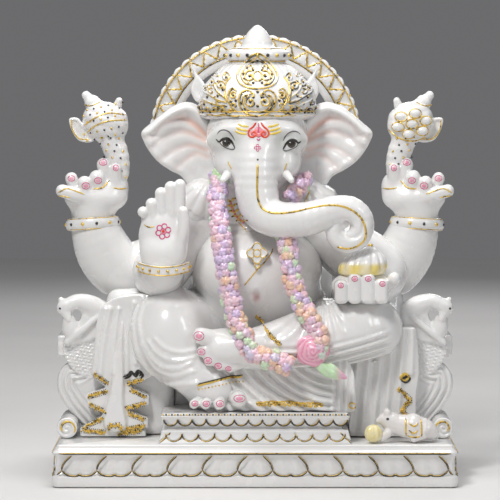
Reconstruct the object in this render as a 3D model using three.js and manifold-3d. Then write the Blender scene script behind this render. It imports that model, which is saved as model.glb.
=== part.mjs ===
// A seated, four-armed ganesha idol of cast marble dust on a lotus plinth, as the castings bonded to make it.
// Millimetres, +Z up. The figure faces -Y, and the origin is the middle of the plinth's underside.
// Left and right are a worshipper's, so left is -X.
import * as THREE from "three";
import { mergeVertices } from "three/addons/utils/BufferGeometryUtils.js";
import Module from "manifold-3d";

const wasm = await Module();
wasm.setup();

// Driving dimensions
const WIDTH = 402;
const DEPTH = 230;
const HEIGHT = 457;
const GAP = 0.3; // bonded joint between neighbouring castings
const PLINTH = { face: 34, top: 42, step: 5, corner: 8 }; // upright face, full height, inset of the top step
const PEDESTAL_TOP = 72; // the step that the lower foot stands on
const SEAT = { half: 82, front: -30, rear: 96, top: 112 };
const ARMREST = { outer: 150, front: -44, top: 186 };
const BACK = { front: 74, top: 206 };
const RAIL = { outer: 198, front: -20, rear: 88, low: 124, high: 145 };
const HEAD = [0, -34, 334]; // middle of the skull
const BELLY = [2, -24, 206];
const CROWN = { y: -26, base: 366, top: 435 };
const HALO = { z: 339, outer: 110, inner: 83, front: 10, rear: 24, droop: 0.1 }; // droop in radians
const WRIST = [165, -10, 256]; // of a raised arm
const SCROLL = { x: 189, radius: 10.5, length: 72 };
const BOTH_SIDES = [
  ["left", -1],
  ["right", 1],
];

// A three.js geometry as a solid, with shared corners merged and collapsed triangles dropped.
function solid(geometry) {
  const bare = new THREE.BufferGeometry();
  bare.setAttribute("position", geometry.getAttribute("position"));
  if (geometry.index) bare.setIndex(geometry.index);
  const merged = mergeVertices(bare, 1e-3);
  const corners = [];
  for (let i = 0; i < merged.index.count; i += 3) {
    const [a, b, c] = [0, 1, 2].map((k) => merged.index.getX(i + k));
    if (a !== b && b !== c && c !== a) corners.push(a, b, c);
  }
  const mesh = new wasm.Mesh({
    numProp: 3,
    vertProperties: new Float32Array(merged.attributes.position.array),
    triVerts: new Uint32Array(corners),
  });
  return new wasm.Manifold(mesh);
}

// A solid as a three.js geometry.
function geometryOf(shape) {
  const mesh = shape.getMesh();
  const positions = new Float32Array(mesh.numVert * 3);
  for (let i = 0; i < mesh.numVert; i++) {
    const start = i * mesh.numProp;
    positions.set(mesh.vertProperties.subarray(start, start + 3), i * 3);
  }
  const geometry = new THREE.BufferGeometry();
  geometry.setAttribute("position", new THREE.BufferAttribute(positions, 3));
  geometry.setIndex(new THREE.BufferAttribute(mesh.triVerts, 1));
  geometry.computeVertexNormals();
  return geometry;
}

function joined(...shapes) {
  return shapes.reduce((sum, shape) => sum.add(shape));
}

// A box between two corners.
function block(low, high, grow) {
  const size = low.map((value, i) => high[i] - value + 2 * grow);
  const middle = low.map((value, i) => (value + high[i]) / 2);
  return solid(new THREE.BoxGeometry(...size).translate(...middle));
}

function ellipsoid(centre, radii, grow, sides = 12, rings = 7) {
  const ball = new THREE.SphereGeometry(1, sides, rings).rotateX(Math.PI / 2);
  ball.scale(...radii.map((radius) => radius + grow));
  return solid(ball.translate(...centre));
}

// A slim stem: a cylinder bent gently along the smooth curve through points of [x, y, z, radius].
function stem(points, grow, sides = 8, steps = 6) {
  const curve = new THREE.CatmullRomCurve3(points.map(([x, y, z]) => new THREE.Vector3(x, y, z)));
  const girth = new THREE.CatmullRomCurve3(points.map((p, i) => new THREE.Vector3(i, p[3], 0)));
  const frames = curve.computeFrenetFrames(steps);
  const geometry = new THREE.CylinderGeometry(1, 1, 1, sides, steps);
  const position = geometry.getAttribute("position");
  for (let i = 0; i < position.count; i++) {
    const ring = Math.round((position.getY(i) + 0.5) * steps);
    const place = curve.getPointAt(ring / steps);
    const radius = girth.getPoint(curve.getUtoTmapping(ring / steps)).y + grow;
    const past = ring === 0 ? -grow : ring === steps ? grow : 0;
    place.addScaledVector(frames.tangents[ring], past);
    place.addScaledVector(frames.normals[ring], position.getX(i) * radius);
    place.addScaledVector(frames.binormals[ring], -position.getZ(i) * radius);
    position.setXYZ(i, place.x, place.y, place.z);
  }
  return solid(geometry);
}

// A stout limb: round-ended tapering rods joined through points of [x, y, z, radius].
function limb(points, grow, sides = 8) {
  const rods = points.slice(1).map((end, i) => {
    const [from, to] = [points[i], end].map(([x, y, z]) => new THREE.Vector3(x, y, z));
    const [low, high] = [points[i][3] + grow, end[3] + grow];
    const length = from.distanceTo(to);
    const bend = Math.SQRT1_2; // halfway round each end
    const profile = [
      [0, -low],
      [low * bend, -low * bend],
      [low, 0],
      [high, length],
      [high * bend, length + high * bend],
      [0, length + high],
    ];
    const rod = new THREE.LatheGeometry(profile.map(([r, y]) => new THREE.Vector2(r, y)), sides);
    const along = to.clone().sub(from).normalize();
    rod.applyQuaternion(new THREE.Quaternion().setFromUnitVectors(new THREE.Vector3(0, 1, 0), along));
    return solid(rod.translate(from.x, from.y, from.z));
  });
  return joined(...rods);
}

// A turned shape about the upright axis at x, y: profile points are [radius, height] from the foot up.
function turned(profile, [x, y], grow, sides = 16) {
  const [low, high] = [profile[0][1], profile[profile.length - 1][1]];
  const rows = profile.map(([radius, height]) => {
    const past = height === low ? -grow : height === high ? grow : 0;
    return new THREE.Vector2(radius ? radius + grow : 0, height + past);
  });
  const geometry = new THREE.LatheGeometry(rows, sides).rotateX(Math.PI / 2);
  return solid(geometry.translate(x, y, 0));
}

// An upright slab: an outline of [x, z] points, thick from y = front to y = rear.
function slab(outline, front, rear, grow) {
  const shape = new THREE.Shape(outline.map(([x, z]) => new THREE.Vector2(x, z)));
  const geometry = new THREE.ExtrudeGeometry(shape, {
    depth: rear - front,
    bevelEnabled: grow > 0,
    bevelThickness: grow,
    bevelSize: grow,
    bevelSegments: 1,
  });
  return solid(geometry.rotateX(Math.PI / 2).translate(0, rear, 0));
}

const mirrored = (points, side) => points.map(([x, ...rest]) => [x * side, ...rest]);

// Finishes: polished marble dust, and gold, petal and sweet paint over it
const finish = (color, roughness, metalness) => () =>
  new THREE.MeshStandardMaterial({ color, roughness, metalness });
const marble = finish(0xeeebe8, 0.22, 0);
const goldPaint = finish(0xd9b65a, 0.35, 0.6);
const petalPaint = finish(0xe9b4d0, 0.35, 0);
const sweetPaint = finish(0xf3e3a0, 0.3, 0);

// Each piece is cut back from the ones placed before it, grown by the bonded joint.
const idol = new THREE.Group();
const placed = [];
function place(name, make, material = marble) {
  let shape = make(0);
  const reach = shape.boundingBox();
  const meets = ({ box }) => [0, 1, 2].every((k) => box.min[k] < reach.max[k] && box.max[k] > reach.min[k]);
  for (const other of placed.filter(meets)) shape = shape.subtract(other.grown);
  const pieces = shape.decompose().sort((a, b) => b.volume() - a.volume());
  const mesh = new THREE.Mesh(geometryOf(pieces[0]), material());
  mesh.name = name;
  idol.add(mesh);
  const grown = make(GAP);
  placed.push({ grown, box: grown.boundingBox() });
}

// Plinth: a round-cornered slab with a smaller top step
place("base_plinth", (grow) => {
  const tier = (inset, low, high) => {
    const [w, d] = [WIDTH / 2 - inset + grow, DEPTH / 2 - inset + grow];
    const r = PLINTH.corner;
    const shape = new THREE.Shape();
    shape.moveTo(r - w, -d).lineTo(w - r, -d).quadraticCurveTo(w, -d, w, r - d);
    shape.lineTo(w, d - r).quadraticCurveTo(w, d, w - r, d).lineTo(r - w, d);
    shape.quadraticCurveTo(-w, d, -w, d - r).lineTo(-w, r - d).quadraticCurveTo(-w, -d, r - w, -d);
    const options = { depth: high - low, bevelEnabled: false, curveSegments: 3 };
    return solid(new THREE.ExtrudeGeometry(shape, options).translate(0, 0, low));
  };
  const overlap = 1;
  const face = tier(0, -grow, PLINTH.face + grow);
  return joined(face, tier(PLINTH.step, PLINTH.face - overlap, PLINTH.top + grow));
});

// Lotus pedestal under the lower foot: two flaring tiers about a waist
place("seat_pedestal", (grow) => {
  const overlap = 1;
  const tier = (half, front, low, high) => block([-half, front, low], [half, SEAT.front, high], grow);
  return joined(
    tier(96, -106, PLINTH.top, 55),
    tier(86, -98, 55 - overlap, 60 + overlap),
    tier(92, -102, 60, PEDESTAL_TOP),
  );
});

// Throne: seat, back, two armrests, and a rail outside each armrest
place("throne_seat", (grow) =>
  block([-SEAT.half, SEAT.front, PLINTH.top], [SEAT.half, SEAT.rear, SEAT.top], grow),
);
place("throne_back", (grow) =>
  block([-SEAT.half, BACK.front, SEAT.top], [SEAT.half, SEAT.rear, BACK.top], grow),
);
for (const [name, side] of BOTH_SIDES) {
  const across = (a, b) => [a * side, b * side].sort((p, q) => p - q);
  const [armLow, armHigh] = across(SEAT.half, ARMREST.outer);
  place("armrest_" + name, (grow) =>
    block([armLow, ARMREST.front, PLINTH.top], [armHigh, SEAT.rear, ARMREST.top], grow),
  );
  const [railLow, railHigh] = across(ARMREST.outer, RAIL.outer);
  place("side_rail_" + name, (grow) =>
    block([railLow, RAIL.front, RAIL.low], [railHigh, RAIL.rear, RAIL.high], grow),
  );
}

// Body, crown, head and trunk
place("torso", (grow) =>
  joined(ellipsoid(BELLY, [72, 62, 60], grow), ellipsoid([0, -6, 262], [62, 46, 46], grow)),
);
place("crown", (grow) => {
  const dome = [[57, CROWN.base], [58, 386], [52, 404], [36, 422], [31, 427], [31, CROWN.top]];
  return turned([[0, CROWN.base], ...dome, [0, CROWN.top]], [HEAD[0], CROWN.y], grow);
});
const finial = [[0, CROWN.top], [17, CROWN.top], [13, 443], [12, 448], [5, 455], [0, HEIGHT]];
place("crown_finial", (grow) => turned(finial, [HEAD[0], CROWN.y], grow, 12), goldPaint);
place("head", (grow) => {
  const cheeks = [HEAD[0], HEAD[1], HEAD[2] - 30];
  return joined(ellipsoid(HEAD, [53, 50, 50], grow), ellipsoid(cheeks, [40, 40, 30], grow));
});
place("trunk", (grow) => {
  const fall = [[0, -64, 334, 25], [0, -80, 300, 25], [2, -88, 272, 21]];
  const sweep = [[22, -94, 253, 16], [50, -92, 256, 15], [80, -90, 264, 13]];
  const curl = ellipsoid([91, -90, 254], [25, 16, 25], grow);
  return joined(limb([...fall, ...sweep], grow), curl);
});
for (const [name, side] of BOTH_SIDES) {
  const ear = [[36, 372], [70, 386], [100, 380], [120, 352], [104, 325], [78, 310], [52, 282], [36, 300]];
  place("ear_" + name, (grow) => slab(mirrored(ear, side), -22, -10, grow));
  const tusk = [[22, -62, 306, 7], [26, -82, 298, 6], [29, -94, 292, 2]];
  place("tusk_" + name, (grow) => stem(mirrored(tusk, side), grow, 8, 3));
  const leaf = [[49, 372], [60, 380], [62, 396], [54, 410], [48, 398]];
  place("crown_leaf_" + name, (grow) => slab(mirrored(leaf, side), -30, -16, grow));
}

// Halo: an upright half ring behind the head, held to the crown by a stay
place("halo", (grow) => {
  const [from, to] = [-HALO.droop, Math.PI + HALO.droop];
  const shape = new THREE.Shape();
  shape.absarc(0, HALO.z, HALO.outer, from, to, false);
  shape.absarc(0, HALO.z, HALO.inner, to, from, true);
  const outline = shape.getPoints(10).map((p) => [p.x, p.y]);
  return slab(outline, HALO.front, HALO.rear, grow);
});
place("halo_stay", (grow) => block([-14, 1, 424], [14, HALO.front, CROWN.top - 1], grow));

// Raised arms, each with a bangle, a cupped hand and the vessel it holds
for (const [name, side] of BOTH_SIDES) {
  const arm = [[46, 8, 262, 26], [140, 0, 214, 29], [165, -10, 244, 21]];
  place("rear_arm_" + name, (grow) => limb(mirrored(arm, side), grow));
  const palm = [[165, -10, 272, 20], [162, -14, 288, 22]];
  const finger = [[172, -22, 292, 11], [193, -24, 290, 7]];
  place("rear_hand_" + name, (grow) =>
    joined(limb(mirrored(palm, side), grow), limb(mirrored(finger, side), grow, 6)),
  );
  const bangle = [[0, 248], [24, 248], [28, 252], [28, 260], [24, 264], [0, 264]];
  place("rear_bangle_" + name, (grow) => turned(bangle, [WRIST[0] * side, WRIST[1]], grow));
  const handle = [[146, -14, 304, 11], [137, -14, 322, 12], [142, -14, 350, 14]];
  const spout = [[160, -14, 376, 10], [167, -14, 386, 4]];
  const hook = [[168, -14, 352, 6], [182, -14, 360, 4]];
  place("held_vessel_" + name, (grow) =>
    joined(
      limb(mirrored(handle, side), grow),
      ellipsoid([150 * side, -14, 364], [25, 22, 21], grow),
      limb(mirrored(spout, side), grow, 6),
      limb(mirrored(hook, side), grow, 6),
    ),
  );
}

// Front arms: an open palm on the left, and a sweet held in the fingers on the right
place("front_arm_left", (grow) => limb([[-54, -14, 264, 24], [-98, -36, 210, 26], [-92, -60, 214, 20]], grow));
place("front_hand_left", (grow) => {
  const fingers = [[-115, 272], [-106, 282], [-96, 293], [-84, 302], [-72, 306], [-66, 288]];
  return slab([[-104, 220], [-114, 236], ...fingers, [-66, 238], [-78, 220]], -86, -68, grow);
});
place("front_bangle_left", (grow) => block([-114, -88, 209], [-68, -44, 218], grow));
place("front_arm_right", (grow) => limb([[54, -14, 264, 24], [120, -34, 206, 26], [124, -64, 193, 18]], grow));
place("front_hand_right", (grow) => {
  const knuckles = [[79, 208], [80, 190], [90, 181], [124, 181], [134, 190], [137, 208]];
  return slab([...knuckles, [128, 216]], -100, -74, grow);
});
place("front_bangle_right", (grow) => block([96, -74, 180], [150, -62, 206], grow));
place(
  "modak_sweet",
  (grow) => turned([[0, 208], [21, 208], [24, 216], [20, 228], [10, 238], [0, 244]], [106, -72], grow, 14),
  sweetPaint,
);
for (const [name, side] of BOTH_SIDES) {
  place("shoulder_sleeve_" + name, (grow) => ellipsoid([70 * side, -8, 274], [28, 27, 22], grow, 10, 5));
}

// Legs in their cloth: one knee raised with its foot on the step, the other folded across in front
place("leg_folded", (grow) => {
  const thigh = [[34, 8, 144, 30], [122, -42, 150, 31]];
  const shin = [[134, -50, 148, 28], [62, -76, 140, 25], [2, -84, 136, 20]];
  return joined(limb(thigh, grow), limb(shin, grow));
});
place("foot_folded", (grow) => limb([[-2, -84, 134, 18], [-30, -90, 135, 19], [-52, -95, 138, 11]], grow));
place("leg_down", (grow) => limb([[-26, 12, 146, 32], [-66, -46, 152, 44], [-40, -76, 98, 24]], grow, 10));
place("foot_down", (grow) =>
  joined(ellipsoid([-36, -84, 84], [27, 22, 11], grow), ellipsoid([-18, -86, 86], [13, 16, 9], grow)),
);
place("hanging_cloth", (grow) => slab([[-12, 112], [40, 116], [82, 112], [97, 73], [-8, 73]], -96, -58, grow));

// Cloth falling in front of the armrests
place("cloth_cascade_left", (grow) => {
  const inner = [[-106, 190], [-104, 110], [-104, 48], [-112, 43]];
  return slab([[-150, 190], ...inner, [-160, 43], [-168, 56], [-158, 110]], -64, ARMREST.front, grow);
});
place("cloth_cascade_right", (grow) => {
  const inner = [[106, 190], [100, 110], [98, 43]];
  return slab([[150, 190], ...inner, [158, 43], [166, 56], [158, 110]], -64, ARMREST.front, grow);
});

// A peacock at each front corner of the throne, over a scroll that lies along the plinth
for (const [name, side] of BOTH_SIDES) {
  const body = [[164, -36, 164, 16], [172, -36, 134, 21], [170, -36, 112, 12]];
  place("peacock_body_" + name, (grow) => limb(mirrored(body, side), grow));
  const neck = [[162, -36, 176, 10], [174, -38, 190, 9], [190, -42, 180, 10], [192, -46, 160, 5]];
  place("peacock_neck_" + name, (grow) => limb(mirrored(neck, side), grow, 6));
  const tail = [[176, -34, 110, 15], [182, -36, 90, 18], [170, -38, 64, 14]];
  place("peacock_tail_" + name, (grow) => limb(mirrored(tail, side), grow));
  place("scroll_" + name, (grow) => {
    const radius = SCROLL.radius + grow;
    const roll = new THREE.CylinderGeometry(radius, radius, SCROLL.length + 2 * grow, 12);
    return solid(roll.translate(SCROLL.x * side, -34, PLINTH.top + SCROLL.radius + GAP));
  });
}

// Garland of flowers with its rose and bud, and the pendant
const leftStrand = [[-46, -60, 292, 7], [-48, -76, 262, 8], [-44, -88, 226, 8], [-38, -96, 192, 8]];
const bow = [[-30, -104, 160, 8], [-6, -106, 130, 8], [34, -105, 116, 8], [62, -105, 126, 8], [66, -104, 158, 8]];
const rightStrand = [[54, -96, 192, 8], [42, -86, 226, 8], [40, -74, 256, 7]];
place("garland", (grow) => stem([...leftStrand, ...bow, ...rightStrand], grow, 6, 20), petalPaint);
place(
  "garland_rose",
  (grow) => {
    const petals = [[44, 124], [57, 120], [70, 126], [74, 138], [68, 148], [56, 151], [44, 146], [40, 136]];
    return slab(petals, -114, -100, grow);
  },
  petalPaint,
);
place("garland_bud", (grow) => limb([[68, -104, 116, 8], [86, -104, 110, 5]], grow), petalPaint);
place(
  "pendant",
  (grow) => slab([[-9, 234], [2, 243], [13, 234], [6, 224], [2, 216], [-2, 224]], -90, -74, grow),
  goldPaint,
);

// The mouse, holding a sweet to its mouth
place("mouse", (grow) => {
  const body = [[118, -93, 55, 5], [132, -92, 59, 12], [148, -91, 57, 14], [166, -90, 55, 12], [180, -88, 50, 6]];
  return joined(stem(body, grow), ellipsoid([131, -96, 66], [9, 9, 8], grow, 8, 5));
});

export default idol;
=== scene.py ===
"""A seated ganesha idol of polished cast marble dust, painted by hand with gold lines and pastel flowers.

Laid out as a Blender add-on and run as a script. Shapes are worked out in millimetres, in the frame of
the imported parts: +Z up, the figure facing -Y, and left the left of someone who faces it.
"""
from math import cos, pi, radians, sin

import bmesh
import bpy
import numpy as np
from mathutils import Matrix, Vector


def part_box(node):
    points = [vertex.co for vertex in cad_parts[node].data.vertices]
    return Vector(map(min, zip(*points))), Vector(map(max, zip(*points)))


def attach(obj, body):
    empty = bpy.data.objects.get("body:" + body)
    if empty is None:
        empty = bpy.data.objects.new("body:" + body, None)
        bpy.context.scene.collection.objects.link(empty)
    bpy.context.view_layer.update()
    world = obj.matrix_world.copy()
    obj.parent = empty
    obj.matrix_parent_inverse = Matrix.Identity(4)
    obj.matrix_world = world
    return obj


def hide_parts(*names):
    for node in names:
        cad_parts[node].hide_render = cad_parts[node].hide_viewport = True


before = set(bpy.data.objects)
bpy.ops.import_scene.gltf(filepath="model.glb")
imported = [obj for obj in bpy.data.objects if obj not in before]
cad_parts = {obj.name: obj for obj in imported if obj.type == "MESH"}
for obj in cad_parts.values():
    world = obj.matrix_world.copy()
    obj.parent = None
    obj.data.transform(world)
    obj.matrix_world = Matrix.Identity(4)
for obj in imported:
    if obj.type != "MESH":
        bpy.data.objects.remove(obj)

import openvdb
from bpy.props import FloatProperty, FloatVectorProperty, PointerProperty
from mathutils import Vector
from mathutils.bvhtree import BVHTree

bl_info = {
    "name": "Marble Ganesha Idol",
    "version": (1, 0, 0),
    "blender": (4, 5, 0),
    "location": "View3D > Sidebar > Idol",
    "description": "Builds a seated marble ganesha idol with painted gold lines, garland, throne and plinth",
    "category": "Object",
}

MM = 0.001
GRAIN = 1.14  # coarseness of all the sculpting, times each block's own step
SIDES = (("left", -1), ("right", 1))
PLINTH_TOP = 42
CROWN_MIDDLE = 2.5
made = {}  # finished pieces by name, for paint to be laid on


# ---------------------------------------------------------------- the frame's boxes


def box_mm(node):
    """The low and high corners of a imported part's box, in millimetres."""
    low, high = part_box(node)
    return np.array(low) / MM, np.array(high) / MM


def spot(node):
    """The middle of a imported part's box, in millimetres."""
    low, high = box_mm(node)
    return (low + high) / 2


# ---------------------------------------------------------------- numbers


def ramp(low, high, value):
    """A smooth step from 0 at low to 1 at high."""
    t = np.clip((value - low) / (high - low), 0, 1)
    return t * t * (3 - 2 * t)


def hump(value, width):
    """A bell 1 high at 0, about twice width across."""
    return np.exp(-((value / width) ** 2))


def merged(a, b, soft):
    """The union of two distances, with a fillet soft wide."""
    near = np.maximum(soft - np.abs(a - b), 0) / soft
    return np.minimum(a, b) - near * near * soft / 4


def cut(a, b, soft):
    """Distance a with b taken away, its edge rounded."""
    return -merged(-a, b, soft)


def common(a, b, soft):
    """The part of a that is inside b, its edge rounded."""
    return -merged(-a, -b, soft)


def curve(points, spacing=1.0, closed=False):
    """Samples of a smooth curve through points, about spacing apart: cubic Hermite pieces whose slopes
    are those of the chords between the neighbouring points."""
    points = np.asarray(points, dtype=float)
    if closed:
        points = np.vstack([points[-2:], points, points[:3]])
    steps = np.linalg.norm(np.diff(points, axis=0), axis=1)
    knots = np.concatenate([[0], np.cumsum(np.maximum(steps, 1e-6))])
    slopes = np.gradient(points, knots, axis=0) if len(points) > 2 else np.tile(
        (points[1] - points[0]) / knots[1], (2, 1)
    )
    first, last = (knots[2], knots[-3]) if closed else (0, knots[-1])
    count = max(int(round((last - first) / spacing)), 2)
    at = np.linspace(first, last, count + 1)[: count if closed else None]
    i = np.clip(np.searchsorted(knots, at, side="right") - 1, 0, len(points) - 2)
    span = (knots[i + 1] - knots[i])[:, None]
    t = (at - knots[i])[:, None] / span
    return (
        (2 * t**3 - 3 * t**2 + 1) * points[i]
        + (t**3 - 2 * t**2 + t) * span * slopes[i]
        + (3 * t**2 - 2 * t**3) * points[i + 1]
        + (t**3 - t**2) * span * slopes[i + 1]
    )


def mirrored(points, side):
    """The same points on the other side of the figure where side is -1."""
    points = np.array(points, dtype=float)
    points[:, 0] *= side
    return points


# ---------------------------------------------------------------- meshes


def surface(name, points, faces, paint, slot="marble", nodes=(), tint=None):
    """Makes a smooth-shaded object of points in millimetres and faces, an array of corner numbers.
    tint gives each point a paint colour and how much it covers."""
    mesh = bpy.data.meshes.new(name)
    mesh.vertices.add(len(points))
    mesh.vertices.foreach_set("co", np.ascontiguousarray(points * MM, dtype=np.float32).ravel())
    mesh.loops.add(faces.size)
    mesh.loops.foreach_set("vertex_index", np.ascontiguousarray(faces, dtype=np.int32).ravel())
    mesh.polygons.add(len(faces))
    mesh.polygons.foreach_set("loop_start", np.arange(0, faces.size, faces.shape[1], dtype=np.int32))
    mesh.update(calc_edges=True)
    mesh.validate()
    mesh.shade_smooth()
    tint = np.zeros((len(points), 4)) if tint is None else tint
    layer = mesh.attributes.new("tint", "FLOAT_COLOR", "POINT")
    layer.data.foreach_set("color", np.ascontiguousarray(tint, dtype=np.float32).ravel())
    mesh.materials.append(paints[paint])
    piece = bpy.data.objects.new(name, mesh)
    bpy.context.scene.collection.objects.link(piece)
    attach(piece, "root")
    if nodes:
        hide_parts(*nodes)
    made[name] = piece
    return piece


def quads(rows, columns, round_rows=False, round_columns=False):
    """The faces between the points of a grid, which may close on itself either way."""
    r = np.arange(rows if round_rows else rows - 1)[:, None]
    c = np.arange(columns if round_columns else columns - 1)[None, :]
    below, beside = (r + 1) % rows, (c + 1) % columns
    corners = [r * columns + c, r * columns + beside, below * columns + beside, below * columns + c]
    return np.stack(np.broadcast_arrays(*corners), -1).reshape(-1, 4)


def outwards(points, faces):
    """The faces, turned over if they enclose a negative volume."""
    a, b, c, d = (points[faces[:, k]] for k in range(4))
    volume = (np.cross(b - a, c - a) * a).sum() + (np.cross(c - a, d - a) * a).sum()
    return faces if volume > 0 else faces[:, ::-1]


def lofted(name, grid, tint=None, **kind):
    """A closed marble skin through a grid of points whose rows are rings. The first and last rows close
    at their own middles."""
    ends = [np.broadcast_to(row.mean(axis=0), row.shape) for row in (grid[0], grid[-1])]
    grid = np.concatenate([ends[0][None], grid, ends[1][None]])
    if tint is not None:
        tint = np.concatenate([tint[:1], tint, tint[-1:]]).reshape(-1, 4)
    points = grid.reshape(-1, 3)
    faces = outwards(points, quads(*grid.shape[:2], False, True))
    weld(surface(name, points, faces, "marble", tint=tint, **kind))


def weld(piece):
    """Merges points that lie on each other, which turns the quads at a pole into triangles."""
    work = bmesh.new()
    work.from_mesh(piece.data)
    bmesh.ops.remove_doubles(work, verts=work.verts, dist=1e-7)
    work.to_mesh(piece.data)
    work.free()


def bands(paths, width, depth, normals=None, sides=6, taper=3.0):
    """Points and faces of brush strokes: an ellipse, width across and depth thick, carried along each
    path and shrinking to nothing over its first and last few samples."""
    points, faces, start = [], [], 0
    for number, path in enumerate(paths):
        path = np.asarray(path, dtype=float)
        along = np.gradient(path, axis=0)
        along /= np.maximum(np.linalg.norm(along, axis=1, keepdims=True), 1e-9)
        out = np.array([0.0, -1.0, 0.0]) if normals is None else np.asarray(normals[number], dtype=float)
        side = np.cross(along, out)
        side /= np.maximum(np.linalg.norm(side, axis=1, keepdims=True), 1e-9)
        up = np.cross(side, along)
        ends = np.minimum(np.arange(len(path)), np.arange(len(path))[::-1]) / taper
        swell = np.sqrt(np.clip(ends, 0, 1))[:, None, None]
        turn = np.linspace(0, 2 * pi, sides, endpoint=False)
        ring = np.cos(turn)[None, :, None] * side[:, None] * width / 2
        ring = ring + np.sin(turn)[None, :, None] * up[:, None] * depth / 2
        points.append((path[:, None] + ring * swell).reshape(-1, 3))
        faces.append(quads(len(path), sides, False, True)[:, ::-1] + start)
        start += len(path) * sides
    return np.concatenate(points), np.concatenate(faces)


def painted(name, paths, paint, width=1.0, depth=0.6, slot="painted_gold", **shape):
    """Brush strokes along paths, as one object."""
    points, faces = bands(paths, width, depth, **shape)
    weld(surface(name, points, faces, paint, slot))


class Front:
    """The front of some finished pieces, for paint to be laid on."""

    def __init__(self, *names):
        points, faces, start = [], [], 0
        for name in names:
            mesh = made[name].data
            co = np.empty(len(mesh.vertices) * 3, dtype=np.float32)
            mesh.vertices.foreach_get("co", co)
            points.append(co.reshape(-1, 3))
            faces += [[start + v for v in face.vertices] for face in mesh.polygons]
            start += len(mesh.vertices)
        self.tree = BVHTree.FromPolygons(np.concatenate(points).tolist(), faces)

    def lay(self, flat, lift=0.1):
        """Carries points of x and z straight back onto the surface, and lifts them off it a little.
        Points that miss it take the depth of the last that didn't."""
        ahead = Vector((0, 1, 0))
        hits = [self.tree.ray_cast(Vector((x * MM, -0.3, z * MM)), ahead) for x, z in flat]
        depth = np.array([hit[0].y / MM if hit[0] else np.nan for hit in hits])
        met = np.flatnonzero(~np.isnan(depth))
        if not len(met):
            raise ValueError("a brush stroke misses its surface")
        depth = np.interp(np.arange(len(depth)), met, depth[met])
        return np.column_stack([flat[:, 0], depth - lift, flat[:, 1]])

    def stroke(self, points, lift=0.1, spacing=1.0, closed=False):
        """A smooth stroke through points of x and z, laid on the surface."""
        path = curve(points, spacing, closed)
        if closed:
            path = np.vstack([path, path[:2]])
        return self.lay(path, lift)

    def draw(self, name, strokes, paint, width, depth, lift=0.3, spacing=1.0, closed=False, **shape):
        """Paints smooth strokes on the surface, as one object."""
        painted(name, [self.stroke(each, lift, spacing, closed) for each in strokes], paint, width, depth,
                **shape)

    def patch(self, outline, rings=4, lift=0.15, dome=0.25):
        """Points and faces of a dab of paint: rings shrinking to its middle, laid on the surface and
        a little thicker there."""
        outline = curve(outline, 0.8, closed=True)
        middle = outline.mean(axis=0)
        scales = np.linspace(1, 0.02, rings)
        flat = (middle + (outline - middle) * scales[:, None, None]).reshape(-1, 2)
        points = self.lay(flat, lift)
        thick = np.repeat(1 - scales**2, len(outline)) * dome
        points[:, 1] -= thick
        return points, quads(rings, len(outline), False, True)


def dabs(name, patches, paint):
    """Several dabs of paint as one object, each thickened backwards into its surface."""
    points, faces, start = [], [], 0
    for at, corners in patches:
        rim = at.copy()
        rim[:, 1] += 0.5
        points += [at, rim]
        faces += [corners + start, corners[:, ::-1] + start + len(at)]
        sides = len(at) - len(corners)
        edge = np.arange(sides)
        after = (edge + 1) % sides
        faces.append(np.column_stack([after, edge, edge + len(at), after + len(at)]) + start)
        inner = len(at) - sides
        faces.append(
            np.column_stack([inner + edge, inner + after, inner + after + len(at), inner + edge + len(at)])
            + start
        )
        start += 2 * len(at)
    surface(name, np.concatenate(points), np.concatenate(faces), paint)


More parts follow.
